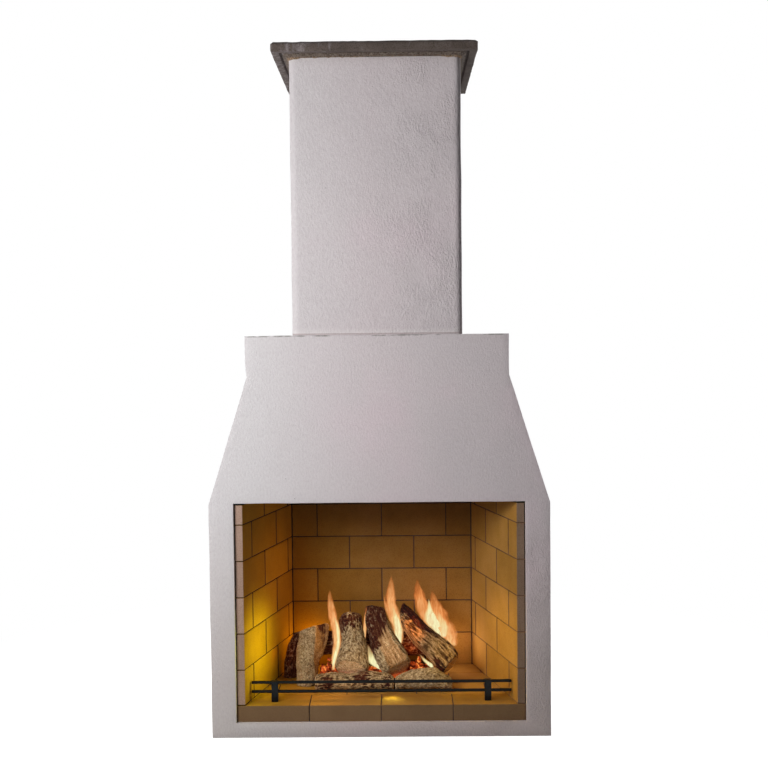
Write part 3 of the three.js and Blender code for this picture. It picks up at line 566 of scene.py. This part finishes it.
roughened(cap, 0.0022, 0.02, chipped)
for vertex in cap.data.vertices:
    vertex.co.z = min(max(vertex.co.z, cap_low.z - 0.0002), cap_high.z + 0.0002)
finished(cap, cap_concrete, "chimney_cap", slot="cap_concrete", angle=50)

# Stucco: a trowelled coat of cement and lime, off white with a faint lilac cast, dragged mostly up and
# down, so that it shows fine upright streaks, soft drifts of tone, rounded arrises and a few pits. It is
# coarser on the flue's and the lower body's right side, and rubbed grey along the shoulder's edge.
side_height, neck_height = 0.755, 1.160
body_low, body_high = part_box("stucco_body")
chimney_low, chimney_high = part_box("stucco_chimney")
neck_half = chimney_high.x + 0.144
shoulder_swell = 0.0018
# The streaks are 5 mm wide and twice as tall. The sand, about a millimetre, is drawn at 3 mm so that it
# shows. Light is painted into the colour: the left side is less lilac for the neutral light on it, the
# colour is darker and warmer towards the ground as painted shade, and the flue's foot has a painted
# highlight just above a painted shadow line where it stands on the shoulder.
stucco, add, shader, place = surface("trowelled_lime_stucco", "#d9cfd2", 0.95)
dragged = add("Mapping", place, Scale=(1, 1, 0.5))
strokes = add("TexNoise", dragged, Scale=190, Detail=4, Roughness=0.6)
drift = add("TexNoise", place, Scale=2.6, Detail=4, Roughness=0.5)
axes = add("SeparateXYZ", place).node.outputs
rise = axes["Z"]
tone = add("ValToRGB", drift, stops=((0.36, "#dfd1d5"), (0.5, "#dbd1d3"), (0.64, "#d9d0d2")))
# Painted light: the left side is less lilac, for the neutral light that falls on it.
tone = add("MixRGB", add("MapRange", axes["X"], -0.02, -0.4), tone, hexed("#dad6d7"))
ribs = add("ValToRGB", strokes, stops=((0.3, "#f4f2f3"), (0.6, "#ffffff")))
skin = add("MixRGB", 1.0, tone, ribs, blend_type="MULTIPLY")
pits = add("ValToRGB", add("TexVoronoi", place, Scale=22), stops=((0.02, "#000000"), (0.045, "#ffffff")))
pick = add("TexNoise", place, Scale=9.3)
unpicked = add("ValToRGB", pick, stops=((0.58, "#ffffff"), (0.62, "#000000")))
pits = add("MixRGB", 1.0, pits, unpicked, blend_type="LIGHTEN")
skin = add("MixRGB", 0.5, skin, pits, blend_type="MULTIPLY")
above_shoulder = add("Math", rise, chimney_low.z + shoulder_swell, operation="GREATER_THAN")
# Painted highlight: a pale band just above the flue's foot, where its rounded foot catches the light.
foot = add("MapRange", rise, chimney_low.z + 0.022, chimney_low.z + 0.006)
foot = add("Math", foot, above_shoulder, operation="MULTIPLY")
skin = add("MixRGB", add("Math", foot, 0.6, operation="MULTIPLY"), skin, hexed("#e6e1e0"))
# Painted shade: the coat is darker and warmer towards the ground.
low_painted_shade = add("MixRGB", 1.0, skin, hexed("#f7f2ee"), blend_type="MULTIPLY")
skin = add("MixRGB", add("MapRange", rise, 0.75, 0.2), skin, low_painted_shade)
# Painted shadow: a thin grey line at the flue's foot, where it meets the shoulder.
foot_painted_shadow_line = add("MapRange", rise, chimney_low.z + 0.007, chimney_low.z + 0.0055)
foot_painted_shadow_line = add("Math", foot_painted_shadow_line, above_shoulder, operation="MULTIPLY")
skin = add("MixRGB", add("Math", foot_painted_shadow_line, 0.8, operation="MULTIPLY"), skin, hexed("#b9abab"))
outward = add("SeparateXYZ", add("VectorMath", place, operation="ABSOLUTE")).node.outputs
rim = add("Math", add("MapRange", outward["X"], neck_half - 0.008, neck_half - 0.004),
          add("MapRange", outward["Y"], body_high.y - 0.008, body_high.y - 0.004), operation="MAXIMUM")
rubbed = add("MapRange", add("TexNoise", place, Scale=19, Detail=3), 0.48, 0.58)
rubbed = add("Math", rubbed, rim, operation="MULTIPLY")
top_edge = add("MapRange", rise, body_high.z - 0.005, body_high.z - 0.002)
rubbed = add("Math", rubbed, top_edge, operation="MULTIPLY")
below_flue = add("Math", rise, body_high.z + 0.001, operation="LESS_THAN")
rubbed = add("Math", rubbed, below_flue, operation="MULTIPLY")
skin = add("MixRGB", add("Math", rubbed, 0.8, operation="MULTIPLY"), skin, hexed("#85827c"))
sand = add("TexNoise", place, Scale=300, Detail=2)
relief = add("Math", sand, 0.6, strokes, operation="MULTIPLY_ADD")
coarse = add("Math", above_shoulder, add("MapRange", rise, 0.7, 0.6), operation="ADD")
coarse = add("Math", coarse, add("MapRange", axes["X"], -0.05, 0.15), operation="MULTIPLY")
coarse = add("Math", coarse, add("MapRange", pick, 0.36, 0.6), operation="MULTIPLY")
coarse = add("Math", coarse, 1.7, 1.0, operation="MULTIPLY_ADD")
relief = add("Math", relief, coarse, operation="MULTIPLY")
joined(shader, {"Base Color": skin, "Normal": add("Bump", Height=relief, Strength=0.65, Distance=0.0025)})
coat_wave, coat_uneven, left_bulge = 0.11, 0.0016, 0.005
outer_depth, flue_seat, flue_seat_height, flue_inside = 0.007, 0.261, 1.27, 0.265


def body_outside(point):
    """Only the coat's outer faces are uneven; those on the cores, the floor and under the flue stay flat."""
    drawn_in = (body_high.x - neck_half) * (point.z - side_height) / (neck_height - side_height)
    half = body_high.x if point.z < side_height else max(neck_half, body_high.x - drawn_in)
    under_flue = max(abs(point.x), abs(point.y)) < flue_seat and point.z > flue_seat_height
    if point.z < 0.003 or under_flue:
        return 0.0
    return 1.0 if (abs(point.x) > half - outer_depth or abs(point.y) > body_high.y - outer_depth
                   or point.z > body_high.z - outer_depth) else 0.0


coat = cast_copy("stucco_body", "stucco_coat_body", 0.005, segments=3)
sliced(coat, 0.03, body_low, body_high)
roughened(coat, coat_uneven, coat_wave, body_outside)
for vertex in coat.data.vertices:
    if vertex.co.x < 0.01 - neck_half and vertex.co.z > neck_height and body_outside(vertex.co):
        vertex.co.x -= left_bulge * min(1, (vertex.co.z - neck_height) / 0.05)
finished(coat, stucco, "stucco_body", slot="stucco", angle=50)

chimney_coat = cast_copy("stucco_chimney", "stucco_coat_chimney", 0.003, angle=50)
sliced(chimney_coat, 0.03, chimney_low, chimney_high)
roughened(chimney_coat, coat_uneven, coat_wave,
          lambda p: 1.0 if max(abs(p.x), abs(p.y)) > flue_inside else 0.0)
finished(chimney_coat, stucco, "stucco_chimney", slot="stucco", angle=50)

# Burner: a folded sheet steel pan with a drilled tube in it, and a welded bar rack over them for the
# logs, all blacked by the flames.
finished(cast_copy("burner_pan", "folded_burner_pan", 0.0006), heat_blacked_steel, "burner_pan",
         slot="black_steel")
finished(cast_copy("burner_tube", "drilled_burner_tube", 0), heat_blacked_steel, "burner_tube",
         slot="black_steel", angle=35)
finished(cast_copy("log_rack", "welded_log_rack", 0.0008), heat_blacked_steel, "log_rack",
         slot="black_iron")

# Embers: crushed ceramic and lava chips scattered over the pan and heaped against the logs, dark red
# brown with a crust of 8 mm, glowing orange in patches of 24 mm where the gas comes up between them.
ember_glow, add, shader, place = surface("glowing_ceramic_embers", "#3a1710", 0.9)
heat = add("TexNoise", place, Scale=42, Detail=5, Roughness=0.7)
crust = add("TexNoise", place, Scale=130, Detail=3)
joined(shader, {
    "Base Color": add("ValToRGB", crust, stops=((0.3, "#1f0c08"), (0.55, "#5a2416"), (0.8, "#8f5a3c"))),
    "Emission Color": add("ValToRGB", heat, stops=((0.42, "#6a1806"), (0.55, "#e0561e"),
                                                   (0.66, "#ffa850"), (0.8, "#fff0c0"))),
    "Emission Strength": add("MapRange", heat, 0.4, 0.66, 0.0, 1.1),
    "Normal": add("Bump", Height=crust, Strength=0.8, Distance=0.003)})
pan_low, pan_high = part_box("burner_pan")
ember_level, pan_margin, scattered_count, heaped_count = 0.1335, 0.012, 150, 174
# Steps that never line up spread the chips evenly. A heap is its middle x and y, its reach and its rise.
even_x, even_y, even_z = 0.618034, 0.754878, 0.7549
heaps = ((-0.186, -0.026, 0.031, 0.054), (-0.020, -0.040, 0.036, 0.022), (0.114, -0.014, 0.056, 0.070))
# Without a seed, noise_vector starts from the clock, and the chips would lie differently in each run.
noise.seed_set(1)
loose()
bpy.ops.mesh.primitive_ico_sphere_add(subdivisions=1, radius=1)
chips = bpy.context.object
chips.name = "ember_chips"
with editing():
    bpy.ops.mesh.delete(type="VERT")
    for i in range(scattered_count):
        spread = noise.noise_vector((i * 1.37, i * 0.77, 0.2))
        x = pan_low.x + pan_margin + (pan_high.x - pan_low.x - 2 * pan_margin) * ((i * even_x) % 1)
        y = pan_low.y + pan_margin + (pan_high.y - pan_low.y - 2 * pan_margin) * ((i * even_y) % 1)
        bpy.ops.mesh.primitive_ico_sphere_add(
            subdivisions=1, radius=0.009 + 0.005 * abs(spread.x),
            location=(x, y, ember_level + 0.005 * spread.z),
            rotation=(3 * spread.x, 4 * spread.y, 5 * spread.z), scale=(1, 0.8, 0.62))
    for i in range(heaped_count):
        x, y, reach, rise = heaps[i % 3]
        spread = noise.noise_vector((i * 0.91, i * 1.17, 4.2))
        far = ((i * even_x) % 1) ** 0.5
        turned = i * 2.4
        bpy.ops.mesh.primitive_ico_sphere_add(
            subdivisions=1, radius=0.007 + 0.006 * abs(spread.y),
            location=(x + reach * far * cos(turned), y + reach * far * sin(turned),
                      ember_level + rise * (1 - far) * (0.3 + 0.7 * ((i * even_z) % 1))),
            rotation=(4 * spread.x, 3 * spread.y, 5 * spread.z), scale=(1.2, 0.7, 0.5))
for vertex in chips.data.vertices:
    vertex.co += 0.004 * noise.noise_vector(vertex.co * 160)
finished(chips, ember_glow, slot="embers", angle=None)
finished(cast_copy("ember_bed", "ember_bed_filling", 0), ember_glow, "ember_bed", slot="embers",
         angle=None)

# Gas supply: a galvanised half inch pipe through the back wall, in zinc spangles of 7 mm, and outside it
# a machined brass quarter turn valve with a boss, a stem and a flat lever, tarnished in patches of 17 mm.
zinc_pipe, add, shader, place = surface("galvanised_steel_pipe", "#8d9092", 0.45, 0.9)
spangle = add("RGBToBW", add("TexVoronoi", place, Scale=150, out="Color"))
joined(shader, {"Base Color": add("ValToRGB", spangle, stops=((0.2, "#7c8083"), (0.8, "#a5a9ab"))),
                "Roughness": add("MapRange", spangle, 0.0, 1.0, 0.35, 0.6)})
valve_brass, add, shader, place = surface("machined_brass", "#b08d4a", 0.3, 1.0)
tarnish = add("TexNoise", place, Scale=60, Detail=4)
joined(shader, {"Base Color": add("ValToRGB", tarnish, stops=((0.35, "#8f6f38"), (0.65, "#bd9a55"))),
                "Roughness": add("MapRange", tarnish, 0.0, 1.0, 0.22, 0.5)})
finished(cast_copy("gas_supply_pipe", "galvanised_supply_pipe", 0), zinc_pipe, "gas_supply_pipe",
         slot="galvanised_steel", angle=35)
finished(cast_copy("gas_valve_body", "brass_valve_body", 0.0008), valve_brass, "gas_valve_body",
         slot="brass", angle=35)
finished(cast_copy("gas_valve_lever", "brass_valve_lever", 0.0008), valve_brass, "gas_valve_lever",
         slot="brass", body="valve_lever", angle=35)

# Logs: cast refractory ceramic, moulded from split firewood and painted: grey furrowed bark, tan split
# faces and sawn ends with rings, charred maroon and black where the flames pass. Flecks are 8 mm and
# patches of char 36 mm; the casting's pores, under a millimetre, are drawn at 3 mm so that they show.
log_ceramic, add, shader, place = surface("painted_ceramic_log", "#8a7458", 0.95)
bark, char, furrow = (add("Attribute", attribute_name=name, out="Fac") for name in ("bark", "char", "furrow"))
fleck = add("TexNoise", place, Scale=130, Detail=5, Roughness=0.75)
patch = add("TexNoise", place, Scale=28, Detail=3)
height = add("Math", fleck, 1.2, -0.07, operation="MULTIPLY_ADD")
height = add("Math", furrow, height, operation="ADD")
height = add("Math", height, 0.5, operation="MULTIPLY")
grey_bark = add("ValToRGB", height, stops=((0.3, "#46331f"), (0.42, "#826b4f"), (0.54, "#aa926f"),
                                           (0.7, "#dac8a2")))
split_wood = add("ValToRGB", height, stops=((0.28, "#5a3c24"), (0.42, "#9c774f"), (0.56, "#c8a074"),
                                            (0.72, "#f4dab0")))
charred = add("ValToRGB", height, stops=((0.32, "#1c0805"), (0.46, "#44190f"), (0.58, "#5e3a28"),
                                         (0.7, "#9a816a")))
edge = add("Math", patch, 0.9, char, operation="MULTIPLY_ADD")
edge = add("Math", fleck, 0.5, edge, operation="MULTIPLY_ADD")
edge = add("Math", furrow, -0.5, edge, operation="MULTIPLY_ADD")
skin = add("MixRGB", bark, split_wood, grey_bark)
skin = add("MixRGB", add("MapRange", edge, 0.74, 0.94), skin, charred)
pores = add("TexNoise", place, Scale=360, Detail=2)
pored = add("ValToRGB", pores, stops=((0.34, "#a8a29c"), (0.5, "#ffffff")))
relief = add("Math", pores, 0.6, fleck, operation="MULTIPLY_ADD")
joined(shader, {"Base Color": add("MixRGB", 1.0, skin, pored, blend_type="MULTIPLY"),
                "Normal": add("Bump", Height=relief, Strength=0.8, Distance=0.003)})

# The bark's ridges are 9 mm apart, and the grain of a split face 5 mm wide and 40 mm long.
log_turns, log_steps, log_rings = 96, 72, 8
ridges, grain_across, grain_along = 115, 190, 24


def ridged(point):
    """Noise with sharp crests, from 0 in the furrows to 1 on the crests."""
    return 1 - min(1, 2.2 * abs(noise.noise(point)))


def eased(rows, share):
    """The row at a share of the way through them, on a smooth curve that passes through each."""
    spot = share * (len(rows) - 1)
    i = min(int(spot), len(rows) - 2)
    f = spot - i
    four = rows[max(i - 1, 0)], rows[i], rows[i + 1], rows[min(i + 2, len(rows) - 1)]
    return [q + 0.5 * f * (r - p + f * (2 * p - 5 * q + 4 * r - s + f * (3 * (q - r) + s - p)))
            for p, q, r, s in zip(*four)]


def ceramic_log(name, source, rows, saws=((0, 0), (0, 0)), splits=(), char=None, seed=0.0, relief=0.003,
                stretch=0.6, contrast=1.0, grey=1.0, tone=0.52):
    """A log by its rows (x, y, z, half across, half over) in mm, foot to head. Saws slant the two ends
    (angle, degrees); splits are flat faces (angle, share of the radius at the foot and at the head).
    Char is a function of the spot, the share of the length and the angle. Tone, contrast and grey set
    how pale the surface is, how deep its furrows look and how grey its bark."""
    loose()
    bpy.ops.mesh.primitive_cylinder_add(vertices=log_turns, radius=1, depth=1, end_fill_type="NGON")
    piece = bpy.context.object
    piece.name = name
    with editing():
        bpy.ops.mesh.select_mode(type="FACE")
        bpy.ops.mesh.select_all(action="DESELECT")
    for face in piece.data.polygons:
        face.select = abs(face.normal.z) > 0.9
    with editing():
        for _ in range(log_rings - 1):
            bpy.ops.mesh.inset(thickness=1 / log_rings, use_individual=True)
        bpy.ops.mesh.select_mode(type="EDGE")
        bpy.ops.mesh.select_all(action="DESELECT")
    for edge in piece.data.edges:
        a, b = (piece.data.vertices[i].co for i in edge.vertices)
        edge.select = abs(a.z - b.z) > 0.5
    with editing():
        bpy.ops.mesh.subdivide(number_cuts=log_steps - 1)
    axis = (Vector(rows[-1][:3]) - Vector(rows[0][:3])) / 1000
    long = axis.length
    axis.normalize()
    sideways = Vector((0, 1, 0)).cross(axis).normalized()
    over = axis.cross(sideways)
    barks, chars, furrows = [], [], []
    for vertex in piece.data.vertices:
        share = min(1, max(0, vertex.co.z + 0.5))
        angle = atan2(vertex.co.y, vertex.co.x)
        inward = min(1, hypot(vertex.co.x, vertex.co.y))
        row = [value / 1000 for value in eased(rows, share)]
        wide, deep = row[3] * cos(angle), row[4] * sin(angle)
        girth = 1 + 0.10 * noise.noise(Vector((cos(angle) * 1.3, sin(angle) * 1.3, share * 2.4 + seed)))
        wood = 1.0
        for split_angle, low_limit, high_limit in splits:
            toward = cos(angle - radians(split_angle))
            limit = low_limit + (high_limit - low_limit) * share
            if toward > 0.05 and girth * toward > limit:
                girth = limit / toward
                wood = 0.0
        girth *= 1 - 0.13 * max(0, 1 - min(share, 1 - share) / 0.05) ** 2
        skin_spot = Vector((wide, deep, share * long * stretch)) * ridges + Vector((0, 0, seed))
        swell = noise.noise(skin_spot * 0.33)
        if wood:
            crest = 0.6 * ridged(skin_spot) + 0.4 * ridged(skin_spot * 2.2)
            rise = relief * (crest - 0.55) + 0.0035 * swell
        else:
            fine = noise.noise(Vector((wide * grain_across, deep * grain_across,
                                       share * long * grain_along + seed)))
            crest = 0.52 + 0.55 * fine
            rise = 0.0012 * fine + 0.002 * swell
        crest = tone + contrast * (crest - 0.52)
        saw_angle, slant = (radians(a) for a in (saws[0] if share < 0.5 else saws[1]))
        toward_saw = row[3] * cos(angle) * cos(saw_angle) + row[4] * sin(angle) * sin(saw_angle)
        slide = tan(slant) * inward * girth * toward_saw
        slide *= max(0, 1 - share * 2.2) if share < 0.5 else max(0, 1 - (1 - share) * 2.2)
        if inward < 0.99:
            wood = 0.0
            wobble = 2 * noise.noise(Vector((wide, deep, 0)) * 40)
            ring = 0.5 + 0.5 * sin(inward * row[3] * 1000 * 1.1 + wobble)
            ray = noise.noise(Vector((cos(angle) * 7, sin(angle) * 7, inward * 2 + seed)))
            crest = 0.8 + 0.10 * ring + 0.25 * ray
            slide += 0.003 * noise.noise(Vector((wide, deep, seed)) * inward * 60) + 0.0008 * ring
        outward = sideways * wide + over * deep
        spot = Vector(row[:3]) + axis * slide + outward * (girth * inward)
        if inward >= 0.99:
            spot += outward.normalized() * rise
        vertex.co = spot
        barks.append(wood * grey)
        chars.append(char(spot, share, angle) if char else 0.0)
        furrows.append(crest)
    noted(piece, bark=barks, char=chars, furrow=furrows)
    with editing():
        bpy.ops.mesh.select_all(action="SELECT")
        bpy.ops.mesh.normals_make_consistent(inside=False)
    finished(piece, log_ceramic, source, slot="ceramic_log", angle=60)


def near(point, centre, reach):
    """1 at a centre in mm, falling to 0 at its reach."""
    return max(0.0, 1 - (point - Vector(centre) / 1000).length / (reach / 1000))


def past(value, start, end):
    """0 before the start, 1 past the end."""
    return min(1.0, max(0.0, (value - start) / (end - start)))


ceramic_log(
    "split_log_left", "log_left",
    ((-258, -65, 101, 33, 30), (-257, -50, 146, 36, 33), (-254, -40, 178, 39, 36), (-246, -28, 212, 47, 38),
     (-236, -16, 248, 52, 38), (-231, -6, 286, 50, 34)),
    saws=((64, 19), (0, 24)), splits=((-32, 1.15, 0.55), (150, 1.0, 0.8)), seed=1.3, relief=0.002,
    stretch=0.9, contrast=0.45,
    char=lambda p, t, a: 0.6 * near(p, (-186, -30, 250), 40) + 0.9 * near(p, (-214, -10, 300), 44))
ceramic_log(
    "split_log_left_rear", "log_left_rear",
    ((-317, 33, 101, 30, 30), (-312, 35, 140, 31, 30), (-304, 38, 180, 33, 28), (-293, 41, 220, 30, 26),
     (-283, 44, 254, 24, 22)),
    saws=((17, 14), (0, 20)), splits=((-60, 0.8, 0.8),), seed=4.1, char=lambda p, t, a: 1.0)
ceramic_log(
    "split_log_centre_left", "log_centre_left",
    ((-104, -91, 161, 57, 50), (-100, -72, 190, 54, 48), (-98, -52, 220, 46, 46), (-99, -36, 246, 40, 44),
     (-103, -18, 272, 39, 42), (-107, -2, 298, 41, 40), (-106, 8, 316, 38, 34)),
    saws=((-110, 22), (-90, 12)), seed=7.7, relief=0.004, contrast=0.8,
    char=lambda p, t, a: 0.9 * near(p, (-150, -10, 300), 54) + 0.54 * past(t, 0.44, 0.8)
    + 0.4 * near(p, (-62, 0, 310), 40))
ceramic_log(
    "split_log_centre", "log_centre",
    ((54, -92, 160, 50, 44), (34, -73, 194, 51, 46), (13, -51, 230, 48, 44), (-3, -28, 266, 43, 42),
     (-16, -6, 300, 39, 40), (-22, 12, 330, 34, 36), (-23, 20, 345, 27, 30)),
    saws=((-60, 20), (180, 28)), splits=((-72, 0.72, 0.95),), seed=11.9, relief=0.004, contrast=0.8,
    char=lambda p, t, a: 0.64 * past(t, 0.3 + 0.14 * cos(a), 0.5 + 0.14 * cos(a))
    + 0.6 * near(p, (-8, -85, 238), 20) + 0.6 * near(p, (-44, -60, 240), 46) + 0.4 * past(t, 0.6, 0.8))
ceramic_log(
    "split_log_right", "log_right",
    ((234, -86, 171, 42, 38), (206, -67, 202, 45, 40), (172, -46, 229, 43, 40), (138, -28, 254, 42, 40),
     (108, -8, 283, 41, 38), (88, 4, 299, 40, 36), (72, 14, 312, 37, 34)),
    saws=((0, 3), (0, 41)), splits=((-140, 1.05, 0.62), (175, 0.95, 0.8)), seed=15.2, relief=0.004,
    stretch=0.25, contrast=0.85, grey=0.4, tone=0.28,
    char=lambda p, t, a: 0.12 + 0.8 * past(t, 0.4, 0.62) * past(cos(a), 0.4, 0.8)
    + 0.7 * near(p, (180, -105, 190), 24) + 0.6 * near(p, (196, -110, 160), 34)
    + 0.8 * near(p, (62, 0, 345), 34))
ceramic_log(
    "round_log_front", "log_front",
    ((40, -131, 124, 22, 26), (8, -131, 130, 28, 30), (-50, -131, 134, 32, 30), (-110, -130, 129, 27, 29),
     (-170, -131, 131, 29, 30), (-222, -131, 128, 26, 27)),
    seed=19.4, relief=0.0045, contrast=0.8, tone=0.42,
    char=lambda p, t, a: 0.16 + 0.5 * near(p, (-60, -140, 150), 40) + 0.4 * near(p, (14, -140, 130), 40)
    + 0.4 * near(p, (-190, -150, 130), 40))
ceramic_log(
    "round_log_front_right", "log_front_right",
    ((236, -133, 120, 18, 22), (212, -133, 127, 25, 28), (180, -133, 137, 35, 33), (146, -132, 138, 37, 33),
     (112, -131, 134, 33, 32), (72, -131, 129, 28, 30), (46, -131, 124, 22, 26)),
    seed=23.6, relief=0.002, contrast=0.6)
ceramic_log(
    "charred_log_rear", "log_rear",
    ((-275, 53, 213, 40, 40), (-100, 53, 214, 41, 41), (60, 53, 210, 40, 40), (150, 53, 200, 32, 38),
     (228, 53, 188, 22, 32)),
    seed=27.8, char=lambda p, t, a: 0.85)

# Flames: tongues of burning gas between the logs, pale yellow at the root, peach and orange towards the
# edges and the tip, where they thin out to nothing, with upright wisps 10 mm wide. Each is a flat closed
# leaf that fades to its rim, and the lamps below give the light it throws on the walls and the hearth.
gas_flame, add, shader, place = surface("burning_gas", "#000000", 1.0)
cover = add("Attribute", attribute_name="cover", out="Fac")
warmth = add("Attribute", attribute_name="warmth", out="Fac")
licked = add("Mapping", place, Scale=(1, 1, 0.25))
wisps = add("TexNoise", licked, Scale=95, Detail=3, Distortion=0.6)
thin = add("MapRange", wisps, 0.35, 0.65, 0.7, 1.5)
warm = add("Math", wisps, 0.5, warmth, operation="MULTIPLY_ADD")
joined(shader, {
    "Specular IOR Level": 0.0, "Emission Strength": 1.0,
    "Alpha": add("Math", cover, thin, operation="MULTIPLY", use_clamp=True),
    "Emission Color": add("ValToRGB", warm, stops=((0.3, "#c9622a"), (0.45, "#e88c48"), (0.58, "#f3ad6e"),
                                                   (0.72, "#f4c886"), (0.86, "#f3e4a4"), (1.0, "#f5efba")))})


def tongue(name, rows, depth, core, thickness=0.95):
    """A flame by its rows (x, z, half width) in mm from root to tip, all at that depth. Core is how hot
    its middle looks, and thickness how much of what is behind it hides."""
    loose()
    bpy.ops.mesh.primitive_uv_sphere_add(segments=32, ring_count=40, radius=1)
    piece = bpy.context.object
    piece.name = name
    covers, warmths = [], []
    for vertex in piece.data.vertices:
        share = 1 - acos(min(1, max(-1, vertex.co.z))) / pi
        x, z, half = eased(rows, share)
        turned = hypot(vertex.co.x, vertex.co.y)
        u, v = (vertex.co.x / turned, vertex.co.y / turned) if turned > 1e-4 else (0, 0)
        half *= 1.15 + 0.35 * noise.noise(Vector((u * 2, depth, z / 22))) * share ** 0.5
        vertex.co = Vector((x + half * u, depth + 0.4 * half * v, z)) / 1000
        rim = 1 - u * u
        seen = thickness * min(1, rim / 0.7) * min(1, (1 - share) / 0.35) ** 0.8 * min(1, share / 0.08)
        covers.append(1 - (1 - seen) ** 0.5)
        warmths.append(core * (0.5 + 0.5 * rim) * (1 - 0.6 * share * share))
    noted(piece, cover=covers, warmth=warmths)
    finished(piece, gas_flame, angle=180)


tongue("flame_left", ((-170, 125, 4), (-166, 172, 9), (-155, 225, 13), (-155, 262, 14), (-163, 300, 14),
                      (-171, 345, 13), (-177, 388, 8), (-177, 418, 1)), -22, 0.42)
tongue("flame_left_core", ((-170, 150, 4), (-160, 191, 7), (-150, 236, 7), (-152, 283, 7), (-163, 325, 4),
                           (-169, 352, 1)), -26, 0.78)
tongue("flame_gap", ((-59, 231, 2), (-60, 255, 5), (-57, 298, 6), (-53, 333, 4), (-53, 356, 1)), -6, 0.42)
tongue("flame_centre", ((6, 143, 4), (-8, 154, 12), (-22, 167, 18), (-30, 182, 18), (-38, 203, 11),
                        (-49, 234, 1)), -52, 0.95)
tongue("flame_middle", ((65, 216, 2), (60, 240, 14), (55, 280, 18), (45, 320, 19), (35, 356, 18),
                        (31, 390, 16), (34, 430, 9), (35, 462, 1)), 2, 0.42)
tongue("flame_middle_core", ((63, 223, 4), (59, 250, 12), (57, 278, 14), (51, 308, 11), (41, 345, 5),
                             (35, 372, 1)), -4, 0.95)
tongue("flame_middle_lick", ((34, 295, 4), (25, 322, 7), (18, 346, 7), (12, 370, 4), (9, 390, 1)), 6,
       0.35, 0.7)
tongue("flame_right_tall", ((180, 265, 22), (160, 300, 25), (145, 335, 24), (134, 372, 20), (127, 408, 11),
                            (124, 438, 1)), 50, 0.28, 0.85)
tongue("flame_right_broad", ((253, 198, 8), (238, 226, 26), (218, 260, 39), (200, 292, 37), (190, 330, 28),
                             (183, 365, 14), (176, 398, 1)), 46, 0.34, 0.92)
tongue("flame_right_core", ((214, 236, 8), (199, 258, 19), (183, 282, 28), (172, 306, 24), (168, 333, 11),
                            (166, 354, 4), (164, 370, 1)), 38, 0.95)
tongue("flame_right_orb", ((217, 234, 6), (217, 258, 15), (213, 284, 15), (203, 310, 8), (195, 336, 1)), 32,
       0.75, 0.8)
tongue("flame_right_root", ((174, 147, 4), (162, 163, 10), (148, 175, 7), (129, 197, 1)), -45, 0.9)
lamp("fire_left_wall", "SPOT", (-0.21, -0.23, 0.29), 3.9, "#f8ff00", 0.05,
     target=(-0.42, -0.18, 0.25), cone=105)
lamp("fire_left_corner", "POINT", (-0.34, -0.03, 0.2), 0.02, "#ff6a20", 0.02)
lamp("fire_right_wall", "SPOT", (0.10, -0.24, 0.36), 2.7, "#ffdc50", 0.05,
     target=(0.43, -0.17, 0.19), cone=106)
lamp("fire_back_wall", "SPOT", (0.0, -0.1, 0.45), 1.9, "#ffb800", 0.05,
     target=(-0.42, -0.06, 0.38), cone=110)
lamp("fire_behind_left", "POINT", (-0.25, 0.10, 0.21), 0.5, "#ffbf00", 0.03)
lamp("fire_behind_right", "POINT", (0.26, 0.09, 0.20), 0.3, "#ffdcb0", 0.03)
lamp("fire_in_gap", "POINT", (0.10, -0.01, 0.20), 0.05, "#ff8038", 0.02)
lamp("fire_glow", "POINT", (0.06, -0.27, 0.33), 0.5, "#ffd9a0", 0.06)
lamp("fire_above_front", "SPOT", (-0.02, -0.2, 0.42), 0.56, "#ffd080", 0.05,
     target=(0, -0.23, 0.1), cone=110)
lamp("fire_front_left", "SPOT", (-0.18, -0.24, 0.26), 0.7, "#ffd490", 0.03,
     target=(-0.20, -0.22, 0.1), cone=90)
lamp("fire_front_middle", "SPOT", (0.034, -0.205, 0.128), 0.14, "#ffff6b", 0.015,
     target=(0.034, -0.235, 0.10), cone=150)
lamp("fire_on_faces", "SPOT", (-0.1, -0.55, 0.2), 3.0, "#ffd8a8", 0.03,
     target=(-0.1, -0.1, 0.15), cone=28)
lamp("fire_on_split", "SPOT", (0.06, -0.16, 0.33), 1.45, "#ff9c10", 0.01,
     target=(0.11, -0.04, 0.28), cone=52)

# Fender: two forged round bars through two square iron posts that stand loose on the hearth, all painted
# with satin black stove enamel over hammer marks of 6 mm.
stove_black, add, shader, place = surface("stove_enamelled_iron", "#0c0d0e", 0.42)
hammered = add("TexNoise", place, Scale=170, Detail=4)
joined(shader, {"Base Color": add("ValToRGB", hammered, stops=((0.35, "#070808"), (0.7, "#15181a"))),
                "Specular IOR Level": 0.14,
                "Normal": add("Bump", Height=hammered, Strength=0.35, Distance=0.001)})
bar_radius, bar_arris, post_arris = 0.005, 0.0012, 0.0015
for label in ("upper", "lower"):
    low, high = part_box(f"fender_bar_{label}")
    loose()
    bpy.ops.mesh.primitive_cylinder_add(vertices=40, radius=bar_radius, depth=high.x - low.x,
                                        location=(low + high) / 2, rotation=(0, pi / 2, 0))
    bar = bpy.context.object
    bar.name = f"forged_bar_{label}"
    bpy.ops.object.transform_apply(location=True, rotation=True, scale=True)
    with editing():
        bpy.ops.mesh.select_all(action="DESELECT")
        bpy.ops.mesh.edges_select_sharp(sharpness=radians(50))
        bpy.ops.mesh.bevel(offset=bar_arris, segments=3, affect="EDGES")
    finished(bar, stove_black, f"fender_bar_{label}", slot="black_iron", body="fender")
for label in ("left", "right"):
    finished(cast_copy(f"fender_post_{label}", f"forged_post_{label}", post_arris), stove_black,
             f"fender_post_{label}", slot="black_iron", body="fender")
